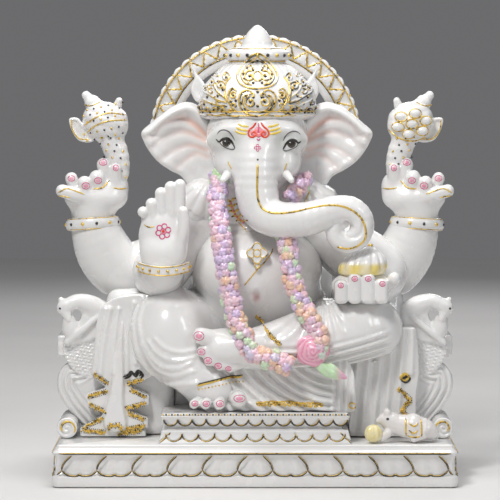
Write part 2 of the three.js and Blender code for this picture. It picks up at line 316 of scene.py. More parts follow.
class Clay:
    """A block to sculpt in. x, y and z are its sample points in millimetres, and a shape is the distance
    to its surface at each of them, negative inside. cast() takes the skin off a shape."""

    def __init__(self, low, high, step=1.25):
        step *= GRAIN
        self.low, self.step = np.array(low, dtype=float), step
        axes = [np.arange(a, b + step, step, dtype=np.float32) for a, b in zip(low, high)]
        self.x, self.y, self.z = np.meshgrid(*axes, indexing="ij", sparse=True)
        self.shape = tuple(len(axis) for axis in axes)

    def ball(self, centre, radii):
        """A ball, or an egg with three radii."""
        radii = np.broadcast_to(radii, 3)
        offsets = [axis - middle for axis, middle in zip((self.x, self.y, self.z), centre)]
        near = np.sqrt(sum((offset / radius) ** 2 for offset, radius in zip(offsets, radii)))
        steep = np.sqrt(sum((offset / radius**2) ** 2 for offset, radius in zip(offsets, radii)))
        return near * (near - 1) / np.maximum(steep, 1e-6)

    def rod(self, a, b):
        """A round-ended rod between two points of x, y, z and radius."""
        a, b = np.asarray(a, dtype=float), np.asarray(b, dtype=float)
        along = b[:3] - a[:3]
        offsets = [axis - start for axis, start in zip((self.x, self.y, self.z), a)]
        reach = sum(offset * step for offset, step in zip(offsets, along)) / max((along**2).sum(), 1e-9)
        reach = np.clip(reach, 0, 1).astype(np.float32)
        square = sum((offset - reach * step) ** 2 for offset, step in zip(offsets, along))
        return np.sqrt(square) - (a[3] + (b[3] - a[3]) * reach)

    def limb(self, points, spacing=6.0):
        """Rods along the smooth curve through points of x, y, z and radius."""
        path = curve(points, spacing)
        shape = self.rod(path[0], path[1])
        for a, b in zip(path[1:-1], path[2:]):
            shape = np.minimum(shape, self.rod(a, b))
        return shape

    def block(self, low, high, rounding=2.0):
        """A box with rounded edges."""
        low, high = np.asarray(low, dtype=float), np.asarray(high, dtype=float)
        over = [
            np.abs(axis - (a + b) / 2) - (b - a) / 2 + rounding
            for axis, a, b in zip((self.x, self.y, self.z), low, high)
        ]
        outside = np.sqrt(sum(np.maximum(o, 0) ** 2 for o in over))
        inside = np.minimum(np.maximum(np.maximum(over[0], over[1]), over[2]), 0)
        return outside + inside - rounding

    def outline(self, points, smooth=True):
        """The distance in the x-z plane to a closed outline, the same at every depth: the least distance
        to its sides, negative where a line to infinity crosses them an odd number of times."""
        ring = curve(points, 2.0, closed=True) if smooth else np.asarray(points, dtype=float)
        x, z = self.x[:, 0, :, None], self.z[:, 0, :, None]
        a, b = ring, np.roll(ring, -1, axis=0)
        side = b - a
        t = (x - a[:, 0]) * side[:, 0] + (z - a[:, 1]) * side[:, 1]
        t = t / np.maximum((side ** 2).sum(axis=1), 1e-9)
        t = np.clip(t, 0, 1)
        reach = np.hypot(x - a[:, 0] - t * side[:, 0], z - a[:, 1] - t * side[:, 1]).min(axis=-1)
        crosses = (a[:, 1] > z) != (b[:, 1] > z)
        tall = np.where(np.abs(side[:, 1]) < 1e-9, 1e-9, side[:, 1])
        inside = (crosses & (x < a[:, 0] + (z - a[:, 1]) / tall * side[:, 0])).sum(axis=-1) % 2 == 1
        return np.where(inside, -reach, reach)[:, None, :]

    def slab(self, outline, front, rear, soft=2.0):
        """What lies inside an outline between a front and a rear surface, with rounded edges."""
        return common(common(outline, front - self.y, soft), self.y - rear, soft)

    def near(self, path):
        """The distance in the x-z plane to a path."""
        x, z = self.x[:, 0, :, None], self.z[:, 0, :, None]
        return np.hypot(x - path[:, 0], z - path[:, 1]).min(axis=-1)[:, None, :]

    def cast(self, name, shape, paint="marble", nodes=None, tint=None, **kind):
        """Takes the skin off a shape: the surface where the distance is nothing, as quads. It replaces
        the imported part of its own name, if no others are given."""
        shape = np.array(np.broadcast_to(shape, self.shape), dtype=np.float32)
        for axis in range(3):
            face = [slice(None)] * 3
            face[axis] = [0, -1]
            shape[tuple(face)] = np.maximum(shape[tuple(face)], self.step / 4)
        grid = openvdb.FloatGrid(1e3)
        grid.copyFromArray(shape)
        points, faces = grid.convertToQuads(isovalue=0)
        points = points * self.step + self.low
        nodes = (name,) if nodes is None else nodes
        surface(name, points, faces.astype(np.int32), paint, nodes=nodes, tint=tint(points) if tint else None,
                **kind)


# ---------------------------------------------------------------- finishes


class Amount:
    """A number that varies over a surface. Arithmetic on it adds Math nodes to its finish."""

    def __init__(self, finish, socket):
        self.finish, self.socket = finish, socket

    def _math(self, operation, *values):
        node = self.finish.node("ShaderNodeMath", {"operation": operation}, dict(enumerate(values)))
        return Amount(self.finish, node.outputs[0])

    def __add__(self, other):
        return self._math("ADD", self, other)

    def __radd__(self, other):
        return self._math("ADD", other, self)

    def __sub__(self, other):
        return self._math("SUBTRACT", self, other)

    def __rsub__(self, other):
        return self._math("SUBTRACT", other, self)

    def __mul__(self, other):
        return self._math("MULTIPLY", self, other)

    def __rmul__(self, other):
        return self._math("MULTIPLY", other, self)

    def over(self, low, high):
        """Goes smoothly from 0 at low to 1 at high."""
        settings = {"interpolation_type": "SMOOTHSTEP"}
        sockets = {"Value": self, "From Min": low, "From Max": high}
        node = self.finish.node("ShaderNodeMapRange", settings, sockets)
        return Amount(self.finish, node.outputs[0])


class Finish:
    """A material made of one glossy shader, whose colour and roughness may vary over the surface."""

    def __init__(self, name, **constants):
        self.material = bpy.data.materials.new(name)
        self.material.use_nodes = True
        self.tree = self.material.node_tree
        self.tree.nodes.clear()
        self.shader = self.node("ShaderNodeBsdfPrincipled", {}, constants)
        self.node("ShaderNodeOutputMaterial", {}, {"Surface": self.shader.outputs[0]})
        self.place = self.node("ShaderNodeTexCoord", {}, {}).outputs["Object"]

    def node(self, kind, settings, values):
        """Adds a node, sets its settings, then the values or links of its sockets."""
        node = self.tree.nodes.new(kind)
        for setting, value in settings.items():
            setattr(node, setting, value)
        for key, value in values.items():
            value = value.socket if isinstance(value, Amount) else value
            if isinstance(value, bpy.types.NodeSocket):
                self.tree.links.new(value, node.inputs[key])
            else:
                node.inputs[key].default_value = value
        return node

    def noise(self, scale, detail=2.0, roughness=0.5):
        values = {"Vector": self.place, "Scale": scale, "Detail": detail, "Roughness": roughness}
        return Amount(self, self.node("ShaderNodeTexNoise", {}, values).outputs["Fac"])

    def mix(self, factor, first, second):
        """One colour turning into another as the factor goes from 0 to 1."""
        node = self.node("ShaderNodeMix", {"data_type": "RGBA"}, {0: factor, 6: first, 7: second})
        return node.outputs[2]

    def wear(self, **sockets):
        """Puts varying amounts and colours on the shader."""
        for name, value in sockets.items():
            value = value.socket if isinstance(value, Amount) else value
            self.tree.links.new(value, self.shader.inputs[name.replace("_", " ")])
        return self.material


def rgba(colour):
    return (*colour, 1.0)


def marble_finish(look):
    """Polished cast marble dust: warm white with soft grey clouds, under any tint painted on it."""
    finish = Finish(
        "polished_marble",
        **{
            "Coat Weight": 0.6,
            "Coat Roughness": 0.06,
            "IOR": 1.5,
            "Subsurface Weight": look.glow,
            "Subsurface Radius": (1.0, 0.72, 0.5),
            "Subsurface Scale": 0.006,
        },
    )
    clouds = finish.noise(11.0, 3.0).over(0.38, 0.72)
    stone = finish.mix(clouds * look.clouding, rgba(look.marble), rgba(look.cloud))
    tint = finish.node("ShaderNodeAttribute", {"attribute_name": "tint"}, {})
    colour = finish.mix(tint.outputs["Alpha"], stone, tint.outputs["Color"])
    return finish.wear(Base_Color=colour, Roughness=0.2 + 0.12 * finish.noise(60.0))


def gold_finish(look):
    """Gold paint, browner and nearly black where the brush left it thin."""
    finish = Finish("gold_paint", **{"Metallic": 0.6, "Coat Weight": 0.3, "Coat Roughness": 0.15})
    thin = finish.noise(260.0, 2.0).over(0.5, 0.68)
    colour = finish.mix(thin * look.gold_wear, rgba(look.gold), (0.05, 0.032, 0.008, 1))
    return finish.wear(Base_Color=colour, Roughness=0.3 + 0.15 * finish.noise(400.0))


def enamel_finish(name, colour, second, scale=220.0):
    """Glossy painted colour that runs a little into a second one."""
    finish = Finish(name, **{"Coat Weight": 0.5, "Coat Roughness": 0.1})
    colours = finish.mix(finish.noise(scale).over(0.35, 0.7), rgba(colour), rgba(second))
    return finish.wear(Base_Color=colours, Roughness=0.28 + 0.1 * finish.noise(90.0))


def petal_finish():
    """Garland enamel: each flower's own tint, paler on its crown."""
    finish = Finish("garland_petals", **{"Coat Weight": 0.5, "Coat Roughness": 0.1, "Subsurface Weight": 0.1})
    finish.shader.inputs["Subsurface Scale"].default_value = 0.003
    tint = finish.node("ShaderNodeAttribute", {"attribute_name": "tint"}, {})
    pale = finish.mix(finish.noise(300.0).over(0.45, 0.7) * 0.25, tint.outputs["Color"],
                      (0.95, 0.92, 0.93, 1))
    return finish.wear(Base_Color=pale, Roughness=0.25 + 0.1 * finish.noise(120.0))


paints = {}


def mix_paints(look):
    """Mixes every finish once, for all the pieces."""
    paints.update(
        marble=marble_finish(look),
        gold=gold_finish(look),
        black=enamel_finish("black_line", (0.012, 0.011, 0.01), (0.03, 0.025, 0.02)),
        pink=enamel_finish("nail_pink", (0.85, 0.3, 0.45), (0.9, 0.45, 0.58)),
        rosy=enamel_finish("deep_pink", (0.62, 0.06, 0.2), (0.72, 0.14, 0.3)),
        red=enamel_finish("tilak_red", (0.75, 0.05, 0.03), (0.85, 0.13, 0.04)),
        orange=enamel_finish("saffron", (0.85, 0.3, 0.03), (0.9, 0.42, 0.07)),
        coral=enamel_finish("coral_pink", (0.85, 0.22, 0.18), (0.85, 0.3, 0.42), 500.0),
        lemon=enamel_finish("pale_turmeric", (0.88, 0.76, 0.36), (0.92, 0.86, 0.6)),
        yellow=enamel_finish("turmeric", (0.85, 0.6, 0.05), (0.9, 0.7, 0.15)),
        iris=enamel_finish("iris_brown", (0.06, 0.045, 0.03), (0.12, 0.09, 0.06), 900.0),
        grey=enamel_finish("grey_line", (0.09, 0.085, 0.08), (0.16, 0.15, 0.14)),
        petals=petal_finish(),
    )


# ---------------------------------------------------------------- plinth and pedestal


def ring_of(half_width, half_depth, corner, spacing):
    """A rounded rectangle seen from above, as numbers to rebuild it at any inset: the corner or place
    along its side that each point belongs to, which way is out, and how far along its side it is."""
    rows = []
    for turn in range(4):
        long = (half_width, half_depth)[turn % 2] - corner
        other = (half_width, half_depth)[(turn + 1) % 2] - corner
        angle = turn * pi / 2 - pi / 2
        out, way = np.array([cos(angle), sin(angle)]), np.array([-sin(angle), cos(angle)])
        t = np.linspace(-1, 1, int(2 * long / spacing))[:, None]
        rows.append(np.hstack([out + way * t, np.tile(out, (len(t), 1)), t * long]))
        bend = np.linspace(0, 1, 9)[1:-1]
        beside = np.where(bend < 0.5, long + corner * 2 * bend, -other - corner * 2 * (1 - bend))
        round_out = np.column_stack([np.cos(angle + bend * pi / 2), np.sin(angle + bend * pi / 2)])
        rows.append(np.hstack([np.tile(out + way, (len(bend), 1)), round_out, beside[:, None]]))
    return np.concatenate(rows)


def moulding(half_width, front, rear, corner, profile, relief, spacing=1.4):
    """A moulded block: a profile of inset and height carried round a rounded rectangle, pushed out by
    relief(distance along the side, height). Rows go up the profile and columns round the block."""
    middle, half_depth = (front + rear) / 2, (rear - front) / 2
    ax, ay, nx, ny, along = ring_of(half_width, half_depth, corner, spacing).T[:, None]
    inset, height = profile[:, :1], profile[:, 1:]
    radius = np.maximum(corner - inset, 0.3)
    out = relief(along, height)
    x = ax * (half_width - inset - radius) + nx * (radius + out)
    y = middle + ay * (half_depth - inset - radius) + ny * (radius + out)
    return np.stack([x, y, np.broadcast_to(height, x.shape)], -1)


def divider(up, along, lean):
    """How far the seam between two petals leans towards the middle of its side at a height: nothing
    below the joint, then ever more."""
    return -np.sign(along) * lean * np.clip((up - 0.34) / 0.62, 0, 1.1) ** 2


def petal_band(along, height, pitch, low, high, lean, deep):
    """Lotus petals hanging side by side: how far they stand out of the band, each with a shallow
    bracket-shaped tip, a notch in its middle and two soft lobes."""
    tall = high - low
    up = (height - low) / tall
    moved = along - divider(up, along, lean)
    across = (moved - np.round(moved / pitch) * pitch) / (pitch / 2)
    tip = 0.06 + 0.28 * np.abs(across) ** 4 + 0.07 * hump(across, 0.12)
    inside = np.minimum((up - tip) * tall, (1 - np.abs(across)) * pitch / 2 * 1.2)
    body = ramp(-0.3, 1.5, inside) * ramp(high + 0.4, high - 1.2, height)
    lobes = hump(np.abs(across) - 0.36, 0.24) * hump(up - 0.42, 0.28)
    return deep * body * (0.6 + 0.75 * lobes) * (up > -0.1) * (up < 1.15)


def petal_lines(half, pitch, low, high, lean):
    """Paths along the rims of the petals on one side, as distance along it and height: bracket-shaped
    tips, and the seams that lean away above their joints."""
    tall = high - low
    paths = []
    edge = int(half // pitch) + 1
    across = np.linspace(-1, 1, 49)
    up = 0.06 + 0.28 * np.abs(across) ** 4 + 0.07 * hump(across, 0.12)
    for number in range(-edge, edge + 1):
        paths.append(np.column_stack([number * pitch + across * pitch / 2, low + up * tall]))
    up = np.linspace(0.33, 0.97, 22)
    for number in range(-edge, edge + 2):
        seam = (number - 0.5) * pitch
        paths.append(np.column_stack([seam + divider(up, seam, lean), low + up * tall]))
    return [path[np.abs(path[:, 0]) < half] for path in paths if (np.abs(path[:, 0]) < half).sum() > 6]


PETAL = {"pitch": 34.7, "low": 10.5, "high": 33.0, "lean": 9.5}


def carve_plinth(look):
    """The plinth: a plain foot, a band of lotus petals, and a sloping top edge."""
    low, high = box_mm("base_plinth")
    deep = look.petal_depth
    profile = curve(
        [(3, 0), (0.8, 0.8), (0.2, 3), (0.2, 9.5), (0.4, 10.8), (deep, 11.6), (deep, 32.6), (0.6, 33.6),
         (0.2, 34.2), (0.8, 35), (3.0, 37), (4.6, 39.5), (5.2, 41.4), (6.2, 42)],
        0.55,
    )
    half = high[0]
    grid = moulding(half, low[1], high[1], 8, profile, lambda along, height: petal_band(
        along, height, PETAL["pitch"], PETAL["low"], PETAL["high"], PETAL["lean"], deep
    ))
    lofted("lotus_plinth", grid, nodes=("base_plinth",))
    paths, normals = [], []
    out = {"front": (0, -1), "rear": (0, 1), "left": (-1, 0), "right": (1, 0)}
    reach = {"front": -low[1], "rear": high[1], "left": -low[0], "right": high[0]}
    for side, (nx, ny) in out.items():
        width = half if nx == 0 else high[1]
        lines = petal_lines(width - 5, PETAL["pitch"], PETAL["low"], PETAL["high"], PETAL["lean"])
        rim = np.column_stack([np.linspace(-width + 7, width - 7, 200), np.full(200, 34.4)])
        for line in [*lines, rim]:
            depth = reach[side] - (deep * 0.35 if line is not rim else 0.2) + 0.15
            path = np.column_stack([-ny * line[:, 0] + nx * depth, nx * line[:, 0] + ny * depth, line[:, 1]])
            paths.append(path)
            normals.append((nx, ny, 0.0))
    painted("plinth_gold_lines", paths, "gold", look.line * 0.75, 1.0, normals=normals, sides=4)
    shade = [path - 0.5 * np.array([0, 0, 1]) for path in paths]
    painted("plinth_black_lines", shade, "black", look.line * 1.8, 0.7, normals=normals, sides=4)


def scallops(along, height, pitch, low, high, deep):
    """A row of overlapping round petals hanging between two heights: how far they stand out."""
    centre = np.round(along / pitch) * pitch
    across = np.abs(along - centre) / (pitch / 2)
    up = (height - low) / (high - low)
    inside = (up - 0.1 - 0.75 * (1 - np.sqrt(np.clip(1 - across**2, 0, 1)))) * (high - low)
    return deep * ramp(0, 1.3, inside) * (height < high + 0.6)


def carve_pedestal(look):
    """The double-lotus step: two rows of hanging petals about a waist, with a beaded top edge."""
    low, high = box_mm("seat_pedestal")
    half, front, rear = high[0], low[1], high[1]
    base, top = PLINTH_TOP, high[2]
    profile = curve(
        [(0, base), (0.4, base + 1), (3, base + 5), (4.4, base + 9), (5.4, base + 13), (9.5, base + 14.5),
         (10, base + 16.5), (7.5, base + 18), (6.6, base + 20), (4.6, base + 25), (3.6, base + 28),
         (3.6, top - 0.6), (4.4, top)],
        0.5,
    )
    rows = ((16.2, base + 2, base + 13, 1.9), (14.0, base + 17.5, base + 27, 1.7))
    grid = moulding(half, front, rear, 3, profile, lambda along, height: sum(
        scallops(along, height, *row) for row in rows
    ))
    lofted("lotus_step", grid, nodes=("seat_pedestal",))
    shape = Front("lotus_step")
    paths = []
    for pitch, bottom, crest, _ in rows:
        edge = half - 8
        for number in range(-int(edge // pitch), int(edge // pitch) + 1):
            turn = np.linspace(pi * 1.02, pi * 1.98, 24)
            x = number * pitch + np.cos(turn) * pitch / 2
            z = bottom + (crest - bottom) * (0.85 + 0.78 * np.sin(turn))
            paths.append(shape.lay(np.column_stack([x, z]), 0.2))
    for x0, x1 in ((-half + 1, -half + 12), (half - 1, half - 12)):
        paths.append(shape.stroke([(x0, base + 1), ((x0 + x1) / 2, base + 6), (x1, base + 12)], 0.2))
    painted("step_gold_lines", paths, "gold", look.line * 0.75, 1.0)
    painted("step_black_lines", [path + (0.4, 0, -0.5) for path in paths], "black", look.line * 1.6, 0.7)
    beads = np.arange(-half + 5, half - 4, 2.9)
    bead_at = np.column_stack([beads, np.full(len(beads), front + 3.4), np.full(len(beads), top - 0.9)])
    dotted("step_{}_beads", bead_at, 0.95, 0.95)


def scatter(name, at, radii, paint):
    """Little balls at many points, as one object: three rings of six points between two poles, joined by
    triangles."""
    turn = np.linspace(0, 2 * pi, 6, endpoint=False)
    rise = np.linspace(-pi / 2, pi / 2, 5)[1:-1, None]
    rings = [np.cos(rise) * np.cos(turn), np.cos(rise) * np.sin(turn), np.sin(rise) + 0 * turn]
    ball = np.vstack([np.stack(rings, -1).reshape(-1, 3), (0, 0, -1), (0, 0, 1)])
    side, foot, crown = np.arange(6), 18, 19
    after = (side + 1) % 6
    rungs = quads(3, 6, False, True)
    skin = np.concatenate([
        rungs[:, :3], rungs[:, [0, 2, 3]], np.column_stack([after, side, 0 * side + foot]),
        np.column_stack([12 + side, 12 + after, 0 * side + crown]),
    ])
    radii = np.broadcast_to(np.asarray(radii, dtype=float).reshape(-1, 1, 1), (len(at), 1, 1))
    faces = skin[None] + (np.arange(len(at)) * len(ball))[:, None, None]
    surface(name, (at[:, None] + ball * radii).reshape(-1, 3), faces.reshape(-1, 3), paint, "painted_gold")


def dotted(name, at, gold, black):
    """Two scatters of balls that take turns, gold and black, of one size each."""
    scatter(name.format("gold"), at[::2], gold, "gold")
    scatter(name.format("black"), at[1::2], black, "black")


def oval(x, z, wide, tall, count):
    """Points round an oval, starting on its right and going up."""
    turn = np.linspace(0, 2 * pi, count, endpoint=False)
    return np.column_stack([x + wide * np.cos(turn), z + tall * np.sin(turn)])


# ---------------------------------------------------------------- throne


def carve_throne():
    """The throne: seat, low back, two armrests under cloth, and a rail along each side."""
    (seat_low, seat_high), (back_low, back_high) = box_mm("throne_seat"), box_mm("throne_back")
    clay = Clay(seat_low - 3, (seat_high[0] + 3, seat_high[1] + 3, back_high[2] + 3), 1.8)
    seat = clay.block(seat_low, seat_high, 2)
    back = clay.block(back_low, back_high, 5)
    panel = clay.block((back_low[0] + 14, back_high[1] - 2, seat_high[2] + 12),
                       (back_high[0] - 14, back_high[1] + 6, back_high[2] - 14), 5)
    rim = np.abs(clay.outline([(-68, 52), (68, 52), (68, 192), (-68, 192)], smooth=False)) - 1.2
    groove = np.maximum(rim, back_high[1] - 1.8 - clay.y)
    shape = cut(cut(merged(seat, back, 3), panel, 2), groove, 1.5)
    clay.cast("throne_seat_and_back", shape, nodes=("throne_seat", "throne_back"))
    for side, way in SIDES:
        low, high = box_mm("armrest_" + side)
        rail_low, rail_high = box_mm("side_rail_" + side)
        clay = Clay(np.minimum(low, rail_low) - 4, np.maximum(high, rail_high) + 5, 1.7)
        x, y, z = clay.x * way, clay.y, clay.z
        arm = clay.block(low, high, 9)
        crest = clay.ball(((low[0] + high[0]) / 2, -24, high[2] - 14), (34, 26, 18))
        arm = merged(arm, crest, 10)
        folds = 1.5 * np.sin(z / 4.6 + 1.6 * np.sin(y / 19) + y / 30) * ramp(0, 12, x - 128)
        folds = folds + 1.3 * np.sin((y + 0.4 * z) / 5.2) * ramp(high[2] - 16, high[2] - 4, z)
        arm = arm - folds * ramp(low[2] + 2, low[2] + 12, z)
        rail = clay.block(rail_low - (3.5 * (way < 0), 5, 4), rail_high + (3.5 * (way > 0), 0, -3), 2.5)
        beading = 0.8 * hump(np.abs(z - (rail_low[2] + rail_high[2]) / 2 + 3) - 5, 1.4)
        shape = merged(arm, rail + beading, 4)
        clay.cast("throne_arm_" + side, shape, nodes=("armrest_" + side, "side_rail_" + side))


def gilded_hem(name, paths, width=2.6, seed=3):
    """A glittering hem: a broad gold band heaped with gold grains, and a row of black dots along each
    side of it."""
    seeds = np.random.default_rng(seed)
    painted(name, paths, "gold", width * 0.5, 0.6, taper=2)
    dots, grains = [], []
    for path in paths:
        along = np.gradient(path, axis=0)
        along /= np.maximum(np.linalg.norm(along, axis=1, keepdims=True), 1e-6)
        out = np.cross(along, (0, -1, 0.0))
        dots += [path[1:-1:2] + out[1:-1:2] * width * 0.66, path[2:-1:2] - out[2:-1:2] * width * 0.66]
        for _ in range(2):
            grains.append(path + out * seeds.uniform(-0.62, 0.62, (len(path), 1)) * width + (0, -0.4, 0))
    scatter(name + "_dots", np.concatenate(dots), 0.5, "black")
    grains = np.concatenate(grains)
    dark = seeds.uniform(0, 1, len(grains)) < 0.13
    sizes = seeds.uniform(0.5, 1.1, len(grains))
    scatter(name + "_grains", grains[~dark], sizes[~dark], "gold")
    scatter(name + "_flecks", grains[dark] + (0, -0.4, 0), sizes[dark] * 0.8, "black")


def straight(points, spacing=1.0):
    """Samples along straight lines through points, as a brush draws a zigzag."""
    points = np.asarray(points, dtype=float)
    pieces = [np.linspace(a, b, max(int(np.hypot(*(b - a)) / spacing), 2), endpoint=False)
              for a, b in zip(points[:-1], points[1:])]
    return np.concatenate([*pieces, points[-1:]])


def carve_cascades():
    """Cloth sweeping over each armrest and falling in front of it: long folds, a smooth tongue, and
    stacked hems whose zigzag edges are gilded."""
    uppers = {-1: [(163, 107), (160, 125), (158, 145), (156, 162), (151, 174), (140, 181), (120, 185),
                   (101, 183), (95, 170), (95, 130), (98, 112), (112, 102)],
              1: [(163, 107), (161, 140), (156, 165), (150, 181), (138, 191), (118, 193), (99, 188),
                  (94, 170), (95, 110), (96, 60)]}
    lowers = {-1: [(129, 96), (125, 90), (109, 83), (109, 77), (129, 71.5), (128, 67), (110, 60), (110, 54),
                   (127, 50), (113, 47), (112, 42), (174, 42), (174, 50), (153, 62), (150, 68), (166, 75),
                   (168, 84), (149, 90), (149, 95)], 1: [(98, 42), (130, 42), (160, 42), (160, 56),
        (160, 84)]}
    hems = {-1: [[(162, 107), (148, 96.5)], [(149, 89), (168, 83.5)], [(167, 75.5), (150, 68)],
                 [(152, 62), (170, 54), (173, 49.5), (151, 47.5)], [(128, 96.5), (113, 101)],
                 [(125, 91), (110, 83.5)], [(110, 77), (130, 71.5)], [(128, 67), (111, 60)],
                 [(111, 54), (130, 50.5)], [(138, 45.5), (115, 49)]],
            1: [[(144, 92), (151, 86), (157, 80), (147, 70)], [(147, 70), (152, 65), (157, 60)],
                [(156, 60), (146, 55)]]}
    folds = {-1: [([(146, 172), (150, 153), (154, 130), (156, 108)], 3.0, 3.4),
                  ([(150, 172), (158, 139), (162, 108)], 2.6, 2.8),
                  ([(121, 178), (127, 153), (129, 104)], 2.4, 2.6),
                  ([(137, 172), (140, 153), (143, 108)], 2.2, 2.4),
                  ([(112, 182), (120, 168), (123, 150), (120, 118)], 2.4, 2.8),
                  ([(100, 186), (113, 178), (118, 160)], 1.8, 2.6)],
             1: [([(150 - 10.5 * k, 186 - 2 * k), (149 - 10.5 * k, 150), (146 - 11.2 * k, 100),
                   (143 - 12.0 * k, 50)], 3.2, 3.4) for k in range(5)] + [([(156, 178), (158, 140),
        (157, 108)], 3.0, 3.6)]}
    for side, way in SIDES:
        low, high = box_mm("cloth_cascade_" + side)
        clay = Clay((low[0] - 14, low[1] - 9, low[2]), (high[0] + 10, high[1] + 5, high[2] + 8), 1.0)
        z = clay.z
        ring = np.vstack([curve(mirrored(uppers[way], way), 3.0), mirrored(lowers[way], way)])
        sheet = clay.outline(ring, smooth=False) - 2.4
        relief = 0
        for path, tall, wide in folds[way]:
            relief = np.maximum(relief, 1.5 * tall * hump(clay.near(curve(mirrored(path, way), 2.0)), wide))
        if way < 0:
            tongue = clay.outline(mirrored([(133, 160), (130.5, 120), (131, 80), (131.5, 50), (141, 47),
                                            (150, 51), (147, 90), (140, 128)], way))
            relief = relief + 6.5 * ramp(0.8, -3.4, tongue)
        front = low[1] + 6.0 - relief - 2.5 * ramp(165, 186, z) - 1.6 * ramp(120, 60, z)
        shape = clay.slab(sheet, front, high[1] + 2, 2.0)
        clay.cast("cloth_cascade_" + side, shape)
        face = Front("cloth_cascade_" + side)
        strokes = [face.lay(straight(mirrored(hem, way)), 0.3) for hem in hems[way]]
        gilded_hem("cascade_gilding_" + side, strokes, 3.6)
        if way > 0:
            knot = [(145, 103), (150, 107), (155, 104), (151, 100), (146, 103), (153, 106)]
            face.draw("cascade_knot_gold", [knot], "gold", 2.4, 1.2, 0.5)
            face.draw("cascade_knot_black", [[(x + 1.2, z - 2.2) for x, z in knot]], "black", 1.8, 1.2, 0.5)
        else:
            scrawl = [(-133, 104), (-128, 106), (-125, 109), (-121, 106), (-118, 110), (-114, 107),
                      (-117, 104)]
            again = [(x + 1.4, z - 2.0) for x, z in scrawl[::-1]]
            face.draw("cascade_knot_black", [scrawl, again], "black", 2.3, 1.1, 0.5)
            tip = [(-147, 50), (-145, 56), (-141, 54), (-138, 57), (-135, 53), (-134, 49)]
            gilded_hem("cascade_tongue_gilding", [face.stroke(tip, 0.4)], 3.0)


def carve_peacocks(look):
    """A peacock at each end of the throne: arched neck with its beak on its breast, a rolled edge above
    a feathered wing, and a plume that falls to a scroll. Each is a relief on flat outlines."""
    for side, way in SIDES:
        nodes = [part + side for part in ("peacock_body_", "peacock_neck_", "peacock_tail_")]
        ends = sorted((142 * way, 208 * way))
        clay = Clay((ends[0], -66, PLINTH_TOP), (ends[1], -8, 196), 1.0)
        x, z = clay.x * way, clay.z

        def limb(points):
            return clay.limb(mirrored(points, way), 3.0)

        def plate(ring, front, rear, soft=3.0):
            return clay.slab(clay.outline(mirrored(ring, way)), front, rear, soft)

        neck = limb([(189, -46, 175, 7.2), (180, -45, 178.5, 7.6), (168, -42, 176, 9.0),
                     (157, -38, 169, 10.0), (150, -34, 160, 10)])
        head = merged(clay.ball((192.5 * way, -46, 172.5), (7.8, 6.8, 8.0)),
                      clay.ball((196 * way, -46, 180.5), (2.8, 2.8, 2.8)), 1.0)
        beak = limb([(190, -48, 166, 5.0), (188, -50, 161, 3.0)])
        breast = limb([(188, -44, 159, 7.0), (187, -44, 151, 8.0), (184, -42, 143, 7.0)])
        flank = plate([(178, 181), (160, 181), (150, 172), (150, 148), (162, 139), (189, 139), (187, 151),
                       (181, 156), (176.5, 161), (176, 167), (178, 173)], -46, -22, 5.0)
        roll = limb([(158, -46, 164, 3.2), (171, -48, 153, 3.6), (190, -47, 138, 3.6)])
        wing_ring = [(192, 140), (182, 148), (166, 160), (154, 166), (148, 150), (152, 118), (160, 102),
                     (168, 100), (182, 106), (191, 118), (195, 130)]
        rows, across = (z + 0.5 * x) / 4.6, (x - 0.5 * z) / 6.4
        feather = 0.9 * np.cos(2 * pi * (rows + 0.3 * np.cos(2 * pi * across)))
        wing = plate(wing_ring, -43.0 - feather * ramp(162, 150, z + 0.5 * (x - 170)), -14, 3.0)
        tail_ring = [(182, 112), (190, 114), (198, 107), (201.5, 97), (200, 84), (192, 70), (183, 59),
                     (176, 51), (168, 46), (150, 48), (148, 70), (148, 112)]
        spine = [(182, 117), (193, 116), (200.5, 106), (201.5, 91), (194, 74), (180, 56), (172, 47)]
        inward = clay.near(curve(mirrored(spine, way), 1.5))
        plume = 1.6 * np.cos(inward / 6.4 * 2 * pi + pi) * ramp(27, 20, inward) + 5.0 * ramp(0, 18, inward)
        tail = plate(tail_ring, -37.0 - plume, -14, 5.0)
        shape = merged(merged(neck, head, 2.5), merged(beak, breast, 0.8), 0.8)
        shape = merged(merged(shape, flank, 4.0), roll, 1.6)
        shape = merged(merged(shape, wing, 1.2), tail, 1.0)
        clay.cast("peacock_" + side, shape, nodes=nodes)
        low, high = box_mm("scroll_" + side)
        middle = (low + high) / 2
        clay = Clay(low - 3, high + 3, 1.0)
        reach = np.hypot(clay.x - middle[0], clay.z - middle[2])
        turn = np.arctan2(clay.z - middle[2], (clay.x - middle[0]) * way)
        coil = 1.1 * np.cos((reach / 4.6 - turn / (2 * pi)) * 2 * pi)
        ends = np.maximum(low[1] + 1.6 - coil * ramp(11, 8, reach) - clay.y, clay.y - high[1])
        clay.cast("scroll_" + side, common(reach - 10.4, ends, 2.0))
        around = np.linspace(0.9, 1.6, 40) * 2 * pi
        path = np.column_stack([middle[0] + way * around * 0.85 * np.cos(around),
                                middle[2] + around * 0.85 * np.sin(around)])
        face = Front("scroll_" + side)
        painted("scroll_gilding_" + side, [face.lay(path, 0.3)], "gold", look.line * 1.9, 0.9)
        painted("scroll_shade_" + side, [face.lay(path[4:-12], 0.3) + (0.5, 0, -0.8)], "black", look.line,
                0.7)
        face = Front("peacock_" + side)
        dabs("peacock_eye_" + side, [face.patch(oval(196.5 * way, 172, 1.2, 1.2, 6))], "black")


# ---------------------------------------------------------------- body and legs


